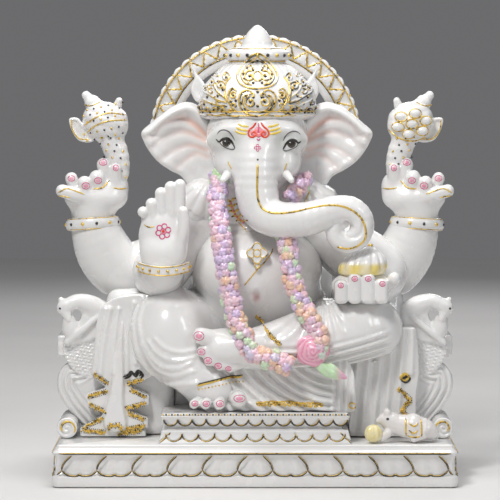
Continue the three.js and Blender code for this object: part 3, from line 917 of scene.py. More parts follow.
def carve_torso():
    """The belly, chest and neck, with two creases over the belly and the navel; pleated cloth lies on
    both shoulders."""
    clay = Clay((-80, -92, 128), (82, 62, 322), 1.35)
    x, y, z = clay.x, clay.y, clay.z
    belly = clay.ball((1.5, -22, 210), (67, 61, 49))
    chest = clay.ball((1, -6, 270), (63, 44, 40))
    lap = clay.ball((0, 4, 170), (76, 58, 42))
    shape = merged(merged(belly, chest, 12), lap, 16)
    shape = merged(shape, clay.ball((1, -18, 300), (42, 36, 30)), 14)
    crease = hump(z - 250 + 0.0022 * x**2, 2.2) * 2.2 + hump(z - 258 + 0.003 * x**2, 1.8) * 1.0
    shape = shape + crease * ramp(0, -20, y) * ramp(62, 44, np.abs(x))
    navel = np.sqrt((x - 1) ** 2 + ((z - 186) / 1.5) ** 2)
    shape = shape + 3.2 * hump(navel, 3.4) * ramp(-40, -60, y) - 0.8 * hump(navel - 6, 2) * ramp(-40, -60, y)
    pleats = (1.1 * np.sin((x * 0.8 + z) / 3.0) * ramp(28, 46, np.abs(x)) * ramp(0, 16, y + 14)
              * ramp(236, 252, z))

    def blush(points):
        near = np.hypot(points[:, 0] - 1, (points[:, 2] - 185) / 1.4)
        cover = 0.55 * hump(near, 3.6) * ramp(-50, -60, points[:, 1])
        return np.column_stack([np.tile((0.72, 0.3, 0.27), (len(points), 1)), cover])

    clay.cast("torso", shape + pleats, tint=blush)
    for side, way in SIDES:
        clay = Clay((min(34 * way, 100 * way), -52, 232), (max(34 * way, 100 * way), 34, 306), 1.1)
        x, y, z = clay.x * way, clay.y, clay.z
        shape = clay.ball((62 * way, -8, 268), (26, 32, 28))
        shape = merged(shape, clay.ball((52 * way, -20, 282), (18, 22, 18)), 10)
        spread = np.arctan2(z - 306, x - 44)
        fan = 1.5 * np.abs(np.sin(spread * 9)) * ramp(8, 20, np.hypot(x - 44, z - 306))
        edge = np.hypot(x - 44, z - 306)
        fan = fan + 1.6 * ramp(1.5, -1.5, edge - 41 - 2.5 * np.abs(np.sin(spread * 9)))
        clay.cast("sleeve_" + side, shape - fan, nodes=("shoulder_sleeve_" + side,))


def carve_legs():
    """The lowered leg on the left and the folded leg across the front, both in pleated cloth."""
    clay = Clay((-134, -106, 66), (0, 52, 198))
    shape = clay.ball((-86, -52, 150), (38, 42, 42))
    shape = merged(shape, clay.limb([(-84, -56, 140, 34), (-64, -70, 114, 27), (-42, -78, 94, 21)], 8), 14)
    shape = merged(shape, clay.rod((-82, -40, 156, 36), (-30, 10, 148, 34)), 12)
    shape = merged(shape, clay.rod((-50, -60, 90, 20), (-30, -62, 84, 18)), 10)
    folds = 0
    for path, tall, wide in (  # nested crescents, from the outermost in
        ([(-116, 184), (-122, 166), (-121.5, 142), (-115, 121), (-106, 107), (-92, 99), (-76, 99.5),
          (-58, 102)], 3.2, 3.0),
        ([(-112, 180), (-116.5, 166), (-115, 148), (-109, 129), (-98, 113.5), (-83, 108.5),
          (-62, 114)], 2.4, 2.6),
        ([(-110, 138), (-104, 126.5), (-93, 117.5), (-78, 116), (-64, 122)], 2.6, 2.5),
        ([(-106, 142), (-101, 134.5), (-90, 126.5), (-76, 124), (-60, 127.5)], 2.4, 2.3),
        ([(-99, 145), (-90, 137), (-76, 132.5), (-58, 134.5)], 2.0, 2.2),
    ):
        folds = np.maximum(folds, tall * hump(clay.near(curve(path, 2.0)), wide))
    shape = shape - folds * ramp(-20, -42, clay.y)
    clay.cast("leg_down", shape)

    clay = Clay((-34, -112, 96), (154, 34, 190))
    x, y, z = clay.x, clay.y, clay.z
    shape = clay.limb([(-10, -82, 134, 20), (40, -76, 140, 28), (85, -66, 148, 32), (108, -62, 151, 30.5),
                       (119, -58, 152, 28.5)], 8)
    shape = merged(shape, clay.rod((114, -52, 152, 29), (34, 0, 152, 28)), 12)
    level = z - 113 - 0.0011 * np.maximum(x - 20, 0) ** 2
    nested = np.cos((level + 2.5 * np.sin(x / 30)) / 7.4 * 2 * pi)
    folds = (1.8 * np.sign(nested) * np.abs(nested) ** 0.8 * ramp(32, 20, level) * ramp(4, 24, x)
             * ramp(140, 124, x))
    fan = np.arctan2(z - 190, x - 70)
    lap = (1.4 * np.cos(fan * 22) * ramp(8, 20, np.hypot(x - 70, z - 190)) * ramp(140, 152, z)
           * ramp(96, 80, x))
    shape = shape - (folds + lap) * ramp(0, -30, y)
    clay.cast("leg_folded", shape)


TOES_UP = [(-54.5, 149, 8.4), (-52.6, 133.5, 6.0), (-46.0, 124.8, 6.2), (-35.8, 119.6, 5.4),
           (-25.8, 116.6, 4.4)]
TOES_LOW = [(-59.5, 81.6, 4.8), (-48.2, 81.4, 5.2), (-34.6, 81.6, 5.8), (-15.4, 86.4, 8.2)]


def paint_nails(name, face, nails):
    """Pink nails, each an oval dab inside a deeper pink ring, from its x, z, half width and half height."""
    fills = [face.patch(oval(x, z, 0.62 * wide, 0.62 * tall, 12), 4, 0.15, 0.25)
             for x, z, wide, tall in nails]
    dabs(name, fills, "pink")
    rings = [oval(*nail, 12) for nail in nails]
    face.draw(name + "_rings", rings, "rosy", 0.85, 0.5, 0.15, 0.6, True, slot="marble")


def carve_feet():
    """The sole-up foot of the folded leg and the planted foot, with five rounded toes and pink nails."""
    clay = Clay((-68, -114, 104), (14, -66, 166), 1.0)
    shape = clay.limb([(4, -88, 138, 17), (-14, -92, 137, 16), (-34, -92, 136, 15)], 5)
    for x, z, size in TOES_UP:
        toe = clay.rod((x + 20, -92, z + 0.35 * (136 - z), size), (x + 1, -96, z, size))
        shape = merged(shape, toe, 3.2)
    shape = merged(shape, clay.ball((-30, -88, 140), (20, 14, 16)), 5)
    clay.cast("foot_folded", shape)
    clay = Clay((-78, -112, 72), (0, -58, 108), 1.0)
    shape = clay.rod((-44, -74, 92, 14), (-30, -72, 90, 14))
    for x, z, size in TOES_LOW:
        toe = clay.rod((x * 0.75 - 8, -82, 86, size), (x - 1, -101, z, size))
        shape = merged(shape, toe, 3.0)
    shape = np.maximum(shape, 73 - clay.z)
    clay.cast("foot_down", shape)
    upper, lower = Front("foot_folded"), Front("foot_down")
    big_up, big_low = (-55.5, 149.5, 5.0, 4.2), (-15.4, 88.0, 5.6, 3.3)
    paint_nails("toe_nails", upper,
                [big_up] + [(x - 0.6, z, 0.62 * size, 0.5 * size) for x, z, size in TOES_UP[1:]])
    paint_nails("planted_toe_nails", lower,
                [big_low] + [(x, z + 1.0, 0.62 * size, 0.5 * size) for x, z, size in TOES_LOW[:3]])


def carve_hanging_cloth():
    """The front of the garment, falling between the legs to the step in arcs and upright pleats."""
    clay = Clay((-66, -102, 70), (106, -40, 136), 1.1)
    x, z = clay.x, clay.z
    outline = clay.outline([(-50, 73), (-20, 73), (30, 73), (70, 73), (100, 73), (101, 90), (98, 112),
                            (88, 130), (50, 133), (0, 133), (-40, 130), (-52, 104)])
    reach = np.hypot(x - 84, (z - 158) * 1.15)
    arcs = 2.5 * np.cos((reach + 1.5 * np.sin(x / 16)) / 9.6 * 2 * pi) * ramp(84, 70, x)
    pleats = 2.0 * np.cos((x - 84) / 7.2 * 2 * pi) * ramp(70, 82, x)
    swell = 5.0 * np.sin(np.clip((x + 50) / 150, 0, 1) * pi) + 3.0 * ramp(120, 84, z)
    band = 2.0 * ramp(-1.2, 1.2, 83.5 + 2.2 * np.sin(x / 8.5) - z) * ramp(76, 68, x)
    shape = clay.slab(outline, -82 - swell - arcs - pleats - band, -44, 3)
    clay.cast("hanging_cloth", shape)


# ---------------------------------------------------------------- head

TRUNK = [
    (1, -50, 347, 22), (1, -64, 332, 23), (1, -72, 309.5, 22.5), (2, -76, 289.5, 21.5), (7, -80, 272.5, 20),
    (19.7, -86, 264.5, 18.5), (36.4, -88, 263.5, 17.5), (52.2, -88, 264.5, 17), (68, -88, 269.5, 16),
    (81.8, -88, 273.5, 14.5), (95.5, -88, 273, 13.5), (104.4, -88, 265.5, 12.5), (105.9, -88, 254.5, 12),
    (100.5, -88, 244.5, 11.5), (90.6, -88, 241, 11), (81.8, -88, 245.5, 10), (78.8, -89, 253.5, 9),
    (82.7, -90, 259.5, 7.5), (88.7, -91, 260, 5),
]
EYES = (([(-35.4, 340.6), (-33.2, 342.2), (-29.8, 343.6), (-26.6, 343.2), (-23.4, 340.4), (-21, 336.8),
          (-19.9, 334.2)], [(-21.6, 333.0), (-26.1, 333.6), (-31.1, 335.9), (-34.2, 338.6)], (-28.4, 340.2),
         (-39.2, 343.4)), ([(42.8, 339.4), (40.6, 341.2), (37.4, 342.2), (34.2, 341.4), (31.0, 338.4),
                            (28.8, 335), (27.8, 332.6)], [(29.4, 331.6), (34.8, 332.6), (39.4, 334.6),
    (42.2, 337.2)], (36.2, 338.9), (46.2, 341.2)))
BROWS = (
    [(-37.8, 347.6), (-35.6, 350.8), (-31.8, 352.4), (-26.8, 351.2), (-22.6, 346.6), (-19.9, 341.4)],
    [(45.4, 347.4), (42.6, 350), (38, 351), (33, 349), (29.4, 344.8), (27.9, 341.0)],
)


def carve_head():
    """The skull, brows, cheeks and trunk in one skin. The trunk hangs, sweeps to the right and coils up
    on itself; fine rings cross it."""
    clay = Clay((-56, -114, 226), (122, 24, 402), 1.15)
    x, y, z = clay.x, clay.y, clay.z
    skull = clay.ball((2, -36, 345), (51, 46, 46))
    face = clay.ball((2, -42, 318), (37, 36, 34))
    shape = merged(skull, face, 12)
    brow = clay.limb([(-42, -62, 342, 6), (-30, -70, 350, 7), (-12, -72, 352, 8)], 6)
    brow = np.minimum(brow, clay.limb([(46, -62, 342, 6), (34, -70, 350, 7), (16, -72, 352, 8)], 6))
    shape = merged(shape, brow, 12)
    for middle in (-30, 35):
        shape = cut(shape, clay.ball((middle, -84, 340), (13, 10, 9)), 8)
        shape = merged(shape, clay.ball((middle, -62, 339), (12, 15, 10)), 4)
        shape = merged(shape, clay.ball((middle * 0.92, -58, 318), (13, 18, 14)), 10)
    ripple = 0.14 * np.cos(z / 4.4 * pi) * ramp(345, 330, z) * ramp(284, 296, z)
    ripple = ripple + 0.14 * np.cos(x / 4.4 * pi) * ramp(18, 30, x) * ramp(86, 72, x)
    shape = merged(shape, clay.limb(TRUNK, 5.0) - ripple, 9 * ramp(285, 312, z) + 0.6)
    groove = curve([(107, 262), (104, 250), (95, 246), (86, 250), (85, 258), (91, 262), (96, 257)], 2.0)
    shape = shape + 2.4 * hump(clay.near(groove), 1.9) * ramp(-88, -94, y)
    shape = cut(shape, clay.ball((90.5, -101, 256), (4.2, 9, 4.2)), 3)

    def eye_shade(points):
        """Grey-green shading in the eye sockets."""
        at = points[:, 0], points[:, 2]
        cover = 0
        for centre, height in ((-31, 342), (36, 340)):
            cover = cover + 0.5 * hump(np.hypot((at[0] - centre) / 1.6, at[1] - height), 8.5)
        cover = cover * ramp(-45, -58, points[:, 1])
        return np.column_stack([np.tile((0.42, 0.45, 0.38), (len(points), 1)), np.clip(cover, 0, 0.55)])

    clay.cast("head_and_trunk", shape, nodes=("head", "trunk"), tint=eye_shade)
    for side, way in SIDES:
        front = box_mm("tusk_" + side)[0][1]
        root, tip = (28 * way + 2, -66, 310, 5.5), (34 * way + 2, front + 3, 303, 3)
        clay = Clay((min(root[0], tip[0]) - 9, front - 3, 294), (max(root[0], tip[0]) + 9, -56, 318), 0.8)
        clay.cast("tusk_" + side, clay.rod(root, tip))


EAR = [
    (-50, 366), (-55, 372), (-61.9, 377), (-70.7, 379.5), (-82.9, 376.4), (-96.8, 367), (-107.3, 358.4),
    (-117.5, 347.2), (-114.3, 338.3), (-109.1, 329.1), (-100.3, 318.7), (-88.1, 310.1), (-76.2, 303.2),
    (-71.5, 296.4), (-64.4, 288.7), (-56.7, 291.9), (-46, 299.8), (-36, 311.9), (-34, 330), (-36, 350),
]
EAR_FOLDS = [([(-114.1, 343.3), (-105.4, 345.2), (-96.7, 355.3), (-84.5, 362.1), (-74, 362.7), (-63.6, 357),
               (-52, 346)], 2.6), ([(-106.4, 332.9), (-93.2, 344.1), (-74, 349.2), (-52, 341)], 1.9),
             ([(-97.7, 320.8), (-81, 332), (-67, 335.5), (-52, 331)], 1.7),
             ([(-81.2, 312.9), (-70.5, 322.5), (-61.8, 327.4), (-50, 324)], 1.4)]


def carve_ears():
    """Broad ears with a rolled upper rim and folds running back from it, rosy in the folds near the head."""
    for side, way in SIDES:
        ends = sorted((122 * way, 34 * way))
        clay = Clay((ends[0] - 1, -42, 284), (ends[1] + 6, 6, 384), 1.0)
        clay.x = -(clay.x - 2) * way  # so that both ears are drawn as the left one
        x, z = clay.x, clay.z
        outline = clay.outline(EAR)
        grooves = [curve(fold, 1.5) for fold, _ in EAR_FOLDS]
        groove = 0
        for path, (_, deep) in zip(grooves, EAR_FOLDS):
            near = clay.near(path)
            groove = groove + 0.66 * deep * hump(near, 3.2) - 0.3 * deep * hump(near - 7.0, 4.2)
        rim = 5.4 * hump(outline + 7.0, 5.6) * ramp(326, 350, z) + 1.8 * hump(outline + 4.4, 4.0)
        bowl = 0.10 * np.clip(-x - 40, 0, 60) - 3.0 * ramp(-10, -26, outline) * ramp(-50, -70, x)
        front = -20.0 - rim - bowl + groove + 2.0 * ramp(-50, -38, x)
        shape = clay.slab(outline, front, -9.0 - bowl, 4.0)

        def bloom(points, way=way, grooves=grooves):
            """Pink to orange in the grooves, strongest at the root of the ear."""
            at = np.column_stack([-(points[:, 0] - 2) * way, points[:, 2]])
            cover = np.zeros(len(points))
            root = ramp(-116, -56, at[:, 0])
            for path, strong in zip(grooves, (0.58, 0.42, 0.34, 0.24)):
                near = np.sqrt(((at[:, None] - path[None]) ** 2).sum(axis=-1)).min(axis=1)
                cover = np.maximum(cover, strong * hump(near, 3.0) * (0.16 + 0.84 * root**2))
            cover *= ramp(-14, -18, points[:, 1])
            warm = ramp(-90, -58, at[:, 0])[:, None]
            colour = (1 - warm) * np.array([0.86, 0.42, 0.32]) + warm * np.array([0.85, 0.33, 0.17])
            return np.column_stack([colour, cover])

        clay.cast("ear_" + side, shape, tint=bloom)


# ---------------------------------------------------------------- crown and halo


def carve_crown():
    """The domed crown: a profile of radius and height turned about its axis, wider below."""
    low, high = box_mm("crown")
    x0, y0 = CROWN_MIDDLE, (low[1] + high[1]) / 2
    profile = curve(
        [(40, 362), (54, 363), (57.5, 366), (57.8, 369), (56.6, 371), (58.6, 374), (58.8, 384), (56, 392),
         (52.5, 398), (47, 404), (40, 411), (33, 416.5), (28.5, 419.5), (29, 421), (32, 422.5), (33, 426),
         (32, 430), (28, 432), (16, 433.5)],
        0.9,
    )
    radius, height = profile[:, :1], profile[:, 1:]
    turn = np.linspace(0, 2 * pi, 220, endpoint=False)[None]
    flutes = 0.7 * np.abs(np.sin(turn * 14)) * ramp(404, 412, height) * ramp(421, 418, height)
    deep = (high[1] - low[1]) / 2 / 60
    x = x0 + (radius + flutes) * np.cos(turn)
    y = y0 + (radius + flutes) * deep * np.sin(turn)
    grid = np.stack([x, y, np.broadcast_to(height, x.shape)], -1)
    lofted("crown", grid, nodes=("crown",))
    low, high = box_mm("crown_finial")
    base = 432.5
    tall = (high[2] - base) / 24.5
    profile = curve([(25, 0), (24.4, 1.4), (19, 2.2), (16.4, 4), (14.8, 8), (12.6, 12.6), (9.6, 17.4),
                     (6.2, 21), (3.4, 23.4), (1.2, 24.5)], 0.6)
    x = x0 + profile[:, :1] * np.cos(turn)
    y = y0 + profile[:, :1] * np.sin(turn)
    grid = np.stack([x, y, base + tall * np.broadcast_to(profile[:, 1:], x.shape)], -1)
    near = np.hypot(grid[:, :, 0] - x0, grid[:, :, 2] - base - 20.5 * tall)
    shade = np.zeros((*grid.shape[:2], 4))
    shade[:, :, :3] = (0.72, 0.4, 0.08)
    shade[:, :, 3] = 0.75 * hump(near, 1.8) * (grid[:, :, 1] < y0)
    lofted("crown_finial", grid[:, ::2], slot="painted_gold", nodes=("crown_finial",),
           tint=shade[:, ::2])


def curl(x, z, size, start, turns=1.25, hand=1):
    """A spiral that winds in to x, z from size away, starting at an angle in degrees."""
    t = np.linspace(0, 1, 14)
    angle = radians(start) + hand * t * turns * 2 * pi
    reach = size * (1 - 0.82 * t)
    return [(x + r * cos(a), z + r * sin(a)) for r, a in zip(reach, angle)]


def crown_scrollwork():
    """Filigree for the front of the crown: a tear-shaped jewel above a round one, leafy curls and a beaded
    hem, drawn for the left half and mirrored."""
    half = [[(2.5, 429), (-5, 425), (-10.5, 418.5), (-15.5, 411.5), (-17.6, 404.5), (-14.6, 398.4),
             (-7.5, 394.6), (2.5, 393.5)], [(2.5, 424.5), (-5, 419.5), (-10.5, 412.5), (-13.4, 405),
                                            (-10, 399.4), (-3, 397)], curl(-5.4, 405.4, 6.0, 60, 1.3, 1),
            curl(-3.8, 414.2, 3.6, 300, 1.1, -1), curl(-7.6, 399.8, 2.6, 120, 1.0, 1),
            [(2.5, 411), (-1.2, 408.5), (-0.8, 403), (2.5, 400.5)],
            [(2.5, 366.2), (-7, 368.2), (-14.2, 374.4), (-16, 382.5), (-13.4, 389.4), (-7.5, 392),
             (-2.6, 389.6)], [(2.5, 370), (-5.6, 371.6), (-11, 376.6), (-12.2, 383), (-9.4, 388)],
            curl(-4.6, 380.4, 5.8, 100, 1.3, 1), curl(-2.6, 386.8, 2.8, 200, 1.1, -1),
            [(-17.5, 369.5), (-22.5, 374.6), (-26.6, 381.6), (-26.4, 389), (-22, 393.6), (-18.2, 391)],
            curl(-21.4, 386.6, 3.8, 40, 1.3, 1), curl(-21, 376.8, 3.2, 260, 1.1, -1),
            [(-28, 379), (-30, 390), (-28.5, 399), (-24.6, 405.6), (-28.4, 409.4), (-31.8, 406)],
            curl(-28.6, 404.2, 3.6, 100, 1.2, 1), curl(-34, 396.4, 4.6, 20, 1.25, 1),
            [(-28, 383), (-35.6, 388.4), (-40.6, 395.4), (-40.5, 402.4), (-44.6, 405.2)],
            curl(-43, 399.4, 4.2, 90, 1.2, -1), curl(-38, 406.6, 3.0, 200, 1.1, -1),
            [(-28, 379.5), (-37, 382), (-45, 386.6), (-51.5, 390.6), (-53.2, 394)],
            curl(-49.6, 393.2, 3.8, 330, 1.2, 1), curl(-43.6, 390.6, 3.4, 60, 1.1, 1),
            [(-28, 376.4), (-37, 376.8), (-46, 379.4), (-53.4, 383.4)], curl(-52.8, 380, 3.0, 90, 1.1, -1),
            curl(-37.4, 379.4, 2.2, 0, 1.0, 1), curl(-32.6, 371.8, 3.4, 180, 1.25, -1),
            curl(-40.8, 371.6, 3.4, 0, 1.25, 1), curl(-48.6, 371.8, 3.4, 180, 1.25, -1),
            curl(-55, 374, 3.2, 40, 1.2, 1), curl(-24.6, 370.4, 2.6, 0, 1.2, 1),
            [(-16.5, 366), (-24, 366.4), (-31, 367.6), (-38.5, 366.4), (-46, 367.4), (-53, 366.6),
             (-57, 369)]]
    pockets = [(2.5, 421), (-2.4, 419), (-7.5, 413.6), (-2, 411.5), (-11, 407.5), (-5.4, 405.4), (-1.8, 399),
               (-10.8, 403), (2.5, 376), (-4.6, 380.4), (-9.8, 373.6), (-1.6, 385), (-8.4, 386), (-13.8, 379),
               (2.5, 390), (-19, 381.6), (-21.4, 386.6), (-24, 380.4), (-21, 372), (-28.6, 404.2), (-32, 392),
               (-34, 396.4), (-37, 386), (-37, 400), (-43, 399.4), (-46.6, 395), (-40, 384), (-49.6, 393.2),
               (-47.6, 384.6), (-43, 378), (-50.6, 377.4), (-36.4, 374.4), (-44.6, 369.4), (-28.4, 369),
               (-52, 369.6), (-32.6, 371.8), (-40.8, 371.6), (-48.6, 371.8)]
    both = half + [[(2 * CROWN_MIDDLE - x, z) for x, z in path] for path in half]
    return both, pockets + [(2 * CROWN_MIDDLE - x, z) for x, z in pockets if x < CROWN_MIDDLE]


def gild_crown(look):
    """Scrollwork, dots and rims painted on the crown, some strokes black."""
    face = Front("crown")
    paths, dots = crown_scrollwork()
    strokes = [face.stroke(path, 0.5, 0.8) for path in paths]
    painted("crown_scrollwork_ground", strokes, "marble", 2.3, 2.0, slot="marble", sides=8)
    painted("crown_scrollwork", [path - (0.15, 0.75, 0) for path in strokes], "gold", look.line * 1.5, 1.0)
    painted("crown_scrollwork_shade", [path + (0.9, -0.2, -1.0) for path in strokes[::2]], "black",
            look.line * 0.95, 1.2)
    spots = face.lay(np.array(dots), 0.1)
    scatter("crown_pockets", spots, 1.55, "black")
    scatter("crown_pocket_rims", spots + (0.5, -0.5, 1.1), 1.0, "gold")
    middle = spot("crown")
    turn = np.linspace(0, 2 * pi, 181)
    deep = (box_mm("crown")[1][1] - box_mm("crown")[0][1]) / 120
    rims = []
    for radius, height in ((58.9, 370.6), (58.2, 366.4), (28.9, 420.4), (25.5, 432.8)):
        rims.append(np.column_stack([CROWN_MIDDLE + radius * np.cos(turn),
                                     middle[1] + radius * deep * np.sin(turn), np.full(len(turn), height)]))
    painted("crown_rims", rims, "gold", look.line, 0.9)
    around = np.linspace(0, 2 * pi, 20, endpoint=False) - pi / 2
    collar = np.column_stack([
        CROWN_MIDDLE + 33 * np.cos(around), middle[1] + 33 * deep * np.sin(around), np.full(20, 426.4)
    ])
    dotted("crown_collar_dots_{}", collar, 2.0, 1.9)


def carve_crown_leaves():
    """A pointed leaf standing on each side of the crown."""
    for side, way in SIDES:
        low, high = box_mm("crown_leaf_" + side)
        x0, x1 = sorted(((low[0] - 3 * (way < 0)), high[0] + 3 * (way > 0)))
        clay = Clay((x0 - 3, low[1] - 4, low[2] - 4), (x1 + 3, high[1] + 4, high[2] + 6), 0.9)
        inner, outer = (x1, x0) if way < 0 else (x0, x1)
        tall = high[2] - low[2]
        ring = [(inner, low[2]), ((inner + outer) / 2, low[2] + 1), (outer, low[2] + 0.4 * tall),
                ((inner + 3 * outer) / 4, low[2] + 0.85 * tall), (outer - 2 * way, high[2] + 4),
                ((inner + outer) / 2, low[2] + 0.9 * tall), (inner, low[2] + 0.6 * tall)]
        leaf = clay.outline(ring)
        clay.cast("crown_leaf_" + side, clay.slab(leaf, low[1] - 0.25 * leaf, high[1], 4.0))


HALO_SCALLOPS = 28  # over half a turn
HALO_TOOTH = radians(10)


def carve_halo(look):
    """The halo: a flat arc with a bevelled inner edge, a zigzag between gold lines, and a scalloped rim,
    its profile of radius and depth carried round the arc. A stay behind the crown holds it."""
    low, high = box_mm("halo")
    x0, z0, droop = 0.5, 339.0, 0.1
    outer = high[2] - z0
    around = np.linspace(-droop, pi + droop, 420)[:, None]
    front, rear = low[1], high[1]
    profile = np.array([(82.2, front + 5), (83, front + 2.2), (86, front + 0.6), (89.6, front),
                        (90.6, front + 0.6), (91.6, front), (105.2, front), (106, front + 0.9),
                        (106.8, front), (outer - 1.4, front + 0.3), (outer - 0.3, front + 2),
                        (outer - 0.3, rear - 1.5), (outer - 1.6, rear), (84, rear), (82.2, rear - 2)])
    profile = np.concatenate([np.linspace(a, b, 4)[:-1]
                              for a, b in zip(profile, np.roll(profile, -1, axis=0))])
    radius, depth = profile[:, 0][None], profile[:, 1][None]
    scallop = 1.9 * (np.abs(np.sin(around * HALO_SCALLOPS)) - 1) * ramp(106.5, 108.5, radius)
    teeth = np.abs(((around / HALO_TOOTH) % 1) * 2 - 1)
    ridge = 91.5 + 13.5 * teeth
    zigzag = ((2.2 * ramp(0.8, -0.8, radius - ridge) - 0.9)
              * (radius > 91.4) * (radius < 105.4) * (depth < front + 2))
    reach = radius + scallop
    grid = [x0 + reach * np.cos(around), depth - zigzag + 0 * around, z0 + reach * np.sin(around)]
    grid = np.stack(grid, -1)
    lofted("halo", grid, nodes=("halo",))
    at = front - 0.25
    turn = np.linspace(-droop, pi + droop, 500)
    arcs = [np.column_stack([x0 + r * np.cos(turn), np.full(500, at), z0 + r * np.sin(turn)])
            for r in (90.8, 105.9)]
    painted("halo_gold_arcs", arcs, "gold", look.line * 1.3, 0.9)
    painted("halo_black_arc", [arcs[0] * (0.9915, 1, 0.9915) + (0, -0.1, 0.0085 * z0)], "black",
            look.line * 0.7, 0.6)
    lines = []
    for start in np.arange(18) * HALO_TOOTH:
        knots = [(start, 105), (start + HALO_TOOTH / 2, 92.4), (start + HALO_TOOTH, 105)]
        flat = np.array([(x0 + r * cos(a), z0 + r * sin(a)) for a, r in knots])
        line = np.concatenate([np.linspace(p, q, 12) for p, q in zip(flat[:-1], flat[1:])])
        lines.append(np.column_stack([line[:, 0], np.full(len(line), at - 0.5), line[:, 1]]))
    painted("halo_zigzag", lines, "gold", look.line * 1.7, 1.1)
    edge = np.arange(HALO_SCALLOPS + 1) * pi / HALO_SCALLOPS
    tips = np.column_stack([x0 + 108.0 * np.cos(edge), np.full(len(edge), at + 0.2),
                            z0 + 108.0 * np.sin(edge)])
    scatter("halo_rim_dots", tips, 0.9, "gold")
    low, high = box_mm("halo_stay")
    clay = Clay(low - 3, high + 3, 1.2)
    clay.cast("halo_stay", clay.block(low, high, 4))


# ---------------------------------------------------------------- arms and hands


def carve_rear_arms(look):
    """The raised arms with their bangles, open hands, and the vessels balanced on them."""
    for side, way in SIDES:
        def limb(clay, points, spacing):
            return clay.limb(mirrored(points, way), spacing)

        def block(low, high, step):
            ends = sorted((low[0] * way, high[0] * way))
            return Clay((ends[0], low[1], low[2]), (ends[1], high[1], high[2]), step)

        clay = block((28, -48, 168), (200, 50, 290), 1.3)
        shape = limb(clay, [(60, 10, 262, 24), (84, 8, 232, 26), (112, 4, 212, 27), (138, 0, 207, 29),
                            (153, -5, 224, 29), (160, -9, 240, 26.5), (165, -10, 258, 23)], 7)
        clay.cast("rear_arm_" + side, shape)

        clay = block((134, -46, 238), (196, 26, 272), 0.9)
        centre = np.array([165.5 * way, -10, 255.5])
        x, y, z = clay.x - centre[0], clay.y - centre[1], clay.z - centre[2]
        tilt = z + 0.06 * x * way + 0.05 * y
        reach = np.sqrt(x**2 + (y * 1.04) ** 2)
        ring = np.hypot((reach - 23.0) * 1.05, tilt * 0.8) - 5.2
        clay.cast("rear_bangle_" + side, ring)
        turn = np.linspace(0, 2 * pi, 121)
        rims = [np.column_stack([centre[0] + 25.8 * np.cos(turn), centre[1] + 25 * np.sin(turn),
                                 centre[2] + lift - 0.06 * 25.8 * np.cos(turn) * way - 1.3 * np.sin(turn)])
                for lift in (-5.4, 5.4)]
        painted("rear_bangle_rims_" + side, rims, "gold", look.line * 0.8, 0.8)
        around = np.linspace(0, 2 * pi, 12, endpoint=False) + 0.2
        beads = np.column_stack([centre[0] + 27.2 * np.cos(around), centre[1] + 26.2 * np.sin(around),
                                 centre[2] - 0.06 * 27 * np.cos(around) * way - 1.3 * np.sin(around)])
        dotted("rear_bangle_{}_dots_" + side, beads, 2.1, 1.9)

        clay = block((118, -46, 252), (208, 20, 326), 1.0)
        palm = limb(clay, [(166, -10, 256, 21), (165, -12, 268, 22)], 5)
        palm = merged(palm, clay.ball((162 * way, -16, 282), (32, 22, 17)), 7)
        palm = merged(palm, clay.ball((144 * way, -14, 295), (15, 15, 14)), 9)
        thumb = limb(clay, [(168, -30, 284, 8.5), (182, -34, 286.5, 7.6), (195, -35, 290, 6.4)], 4)
        shape = merged(palm, thumb, 3)
        fingers = [[(181, -22, 290, 7), (186, -27, 302, 6.4)], [(170, -30, 288, 7.4), (172.5, -34, 298, 7.0)],
                   [(158, -26, 292, 8), (160, -31, 303, 7.8)], [(150, -18, 298, 8), (153.6, -24, 316, 7.0)],
                   [(142, -22, 298, 7.5), (141, -27, 312, 6.0)]]
        for finger in fingers:
            shape = merged(shape, limb(clay, finger, 4), 1.8)
        clay.cast("rear_hand_" + side, shape)
        face = Front("rear_hand_" + side)
        nails = [(185.6, 302.4, 3.4, 2.8), (170.6, 295.2, 3.8, 3.2), (158.4, 300.4, 3.6, 3.0),
                 (153.6, 318.4, 3.8, 2.8), (140.6, 313, 2.6, 3.0)]
        paint_nails("rear_nails_" + side, face, [(x * way, z, wide, tall) for x, z, wide, tall in nails])
        creases = [[(199, 288), (190, 292.4), (180, 289.6), (172, 286.6)],
                   [(164, 291.6), (154, 293.4), (147, 300.4)], [(144, 293), (136, 291.6), (129.6, 292)],
                   [(199.6, 285), (193, 284.6), (186, 283)]]
        creases = [mirrored(crease, way) for crease in creases]
        face.draw("rear_hand_gold_" + side, creases, "gold", look.line * 1.3, 0.9, 0.25)


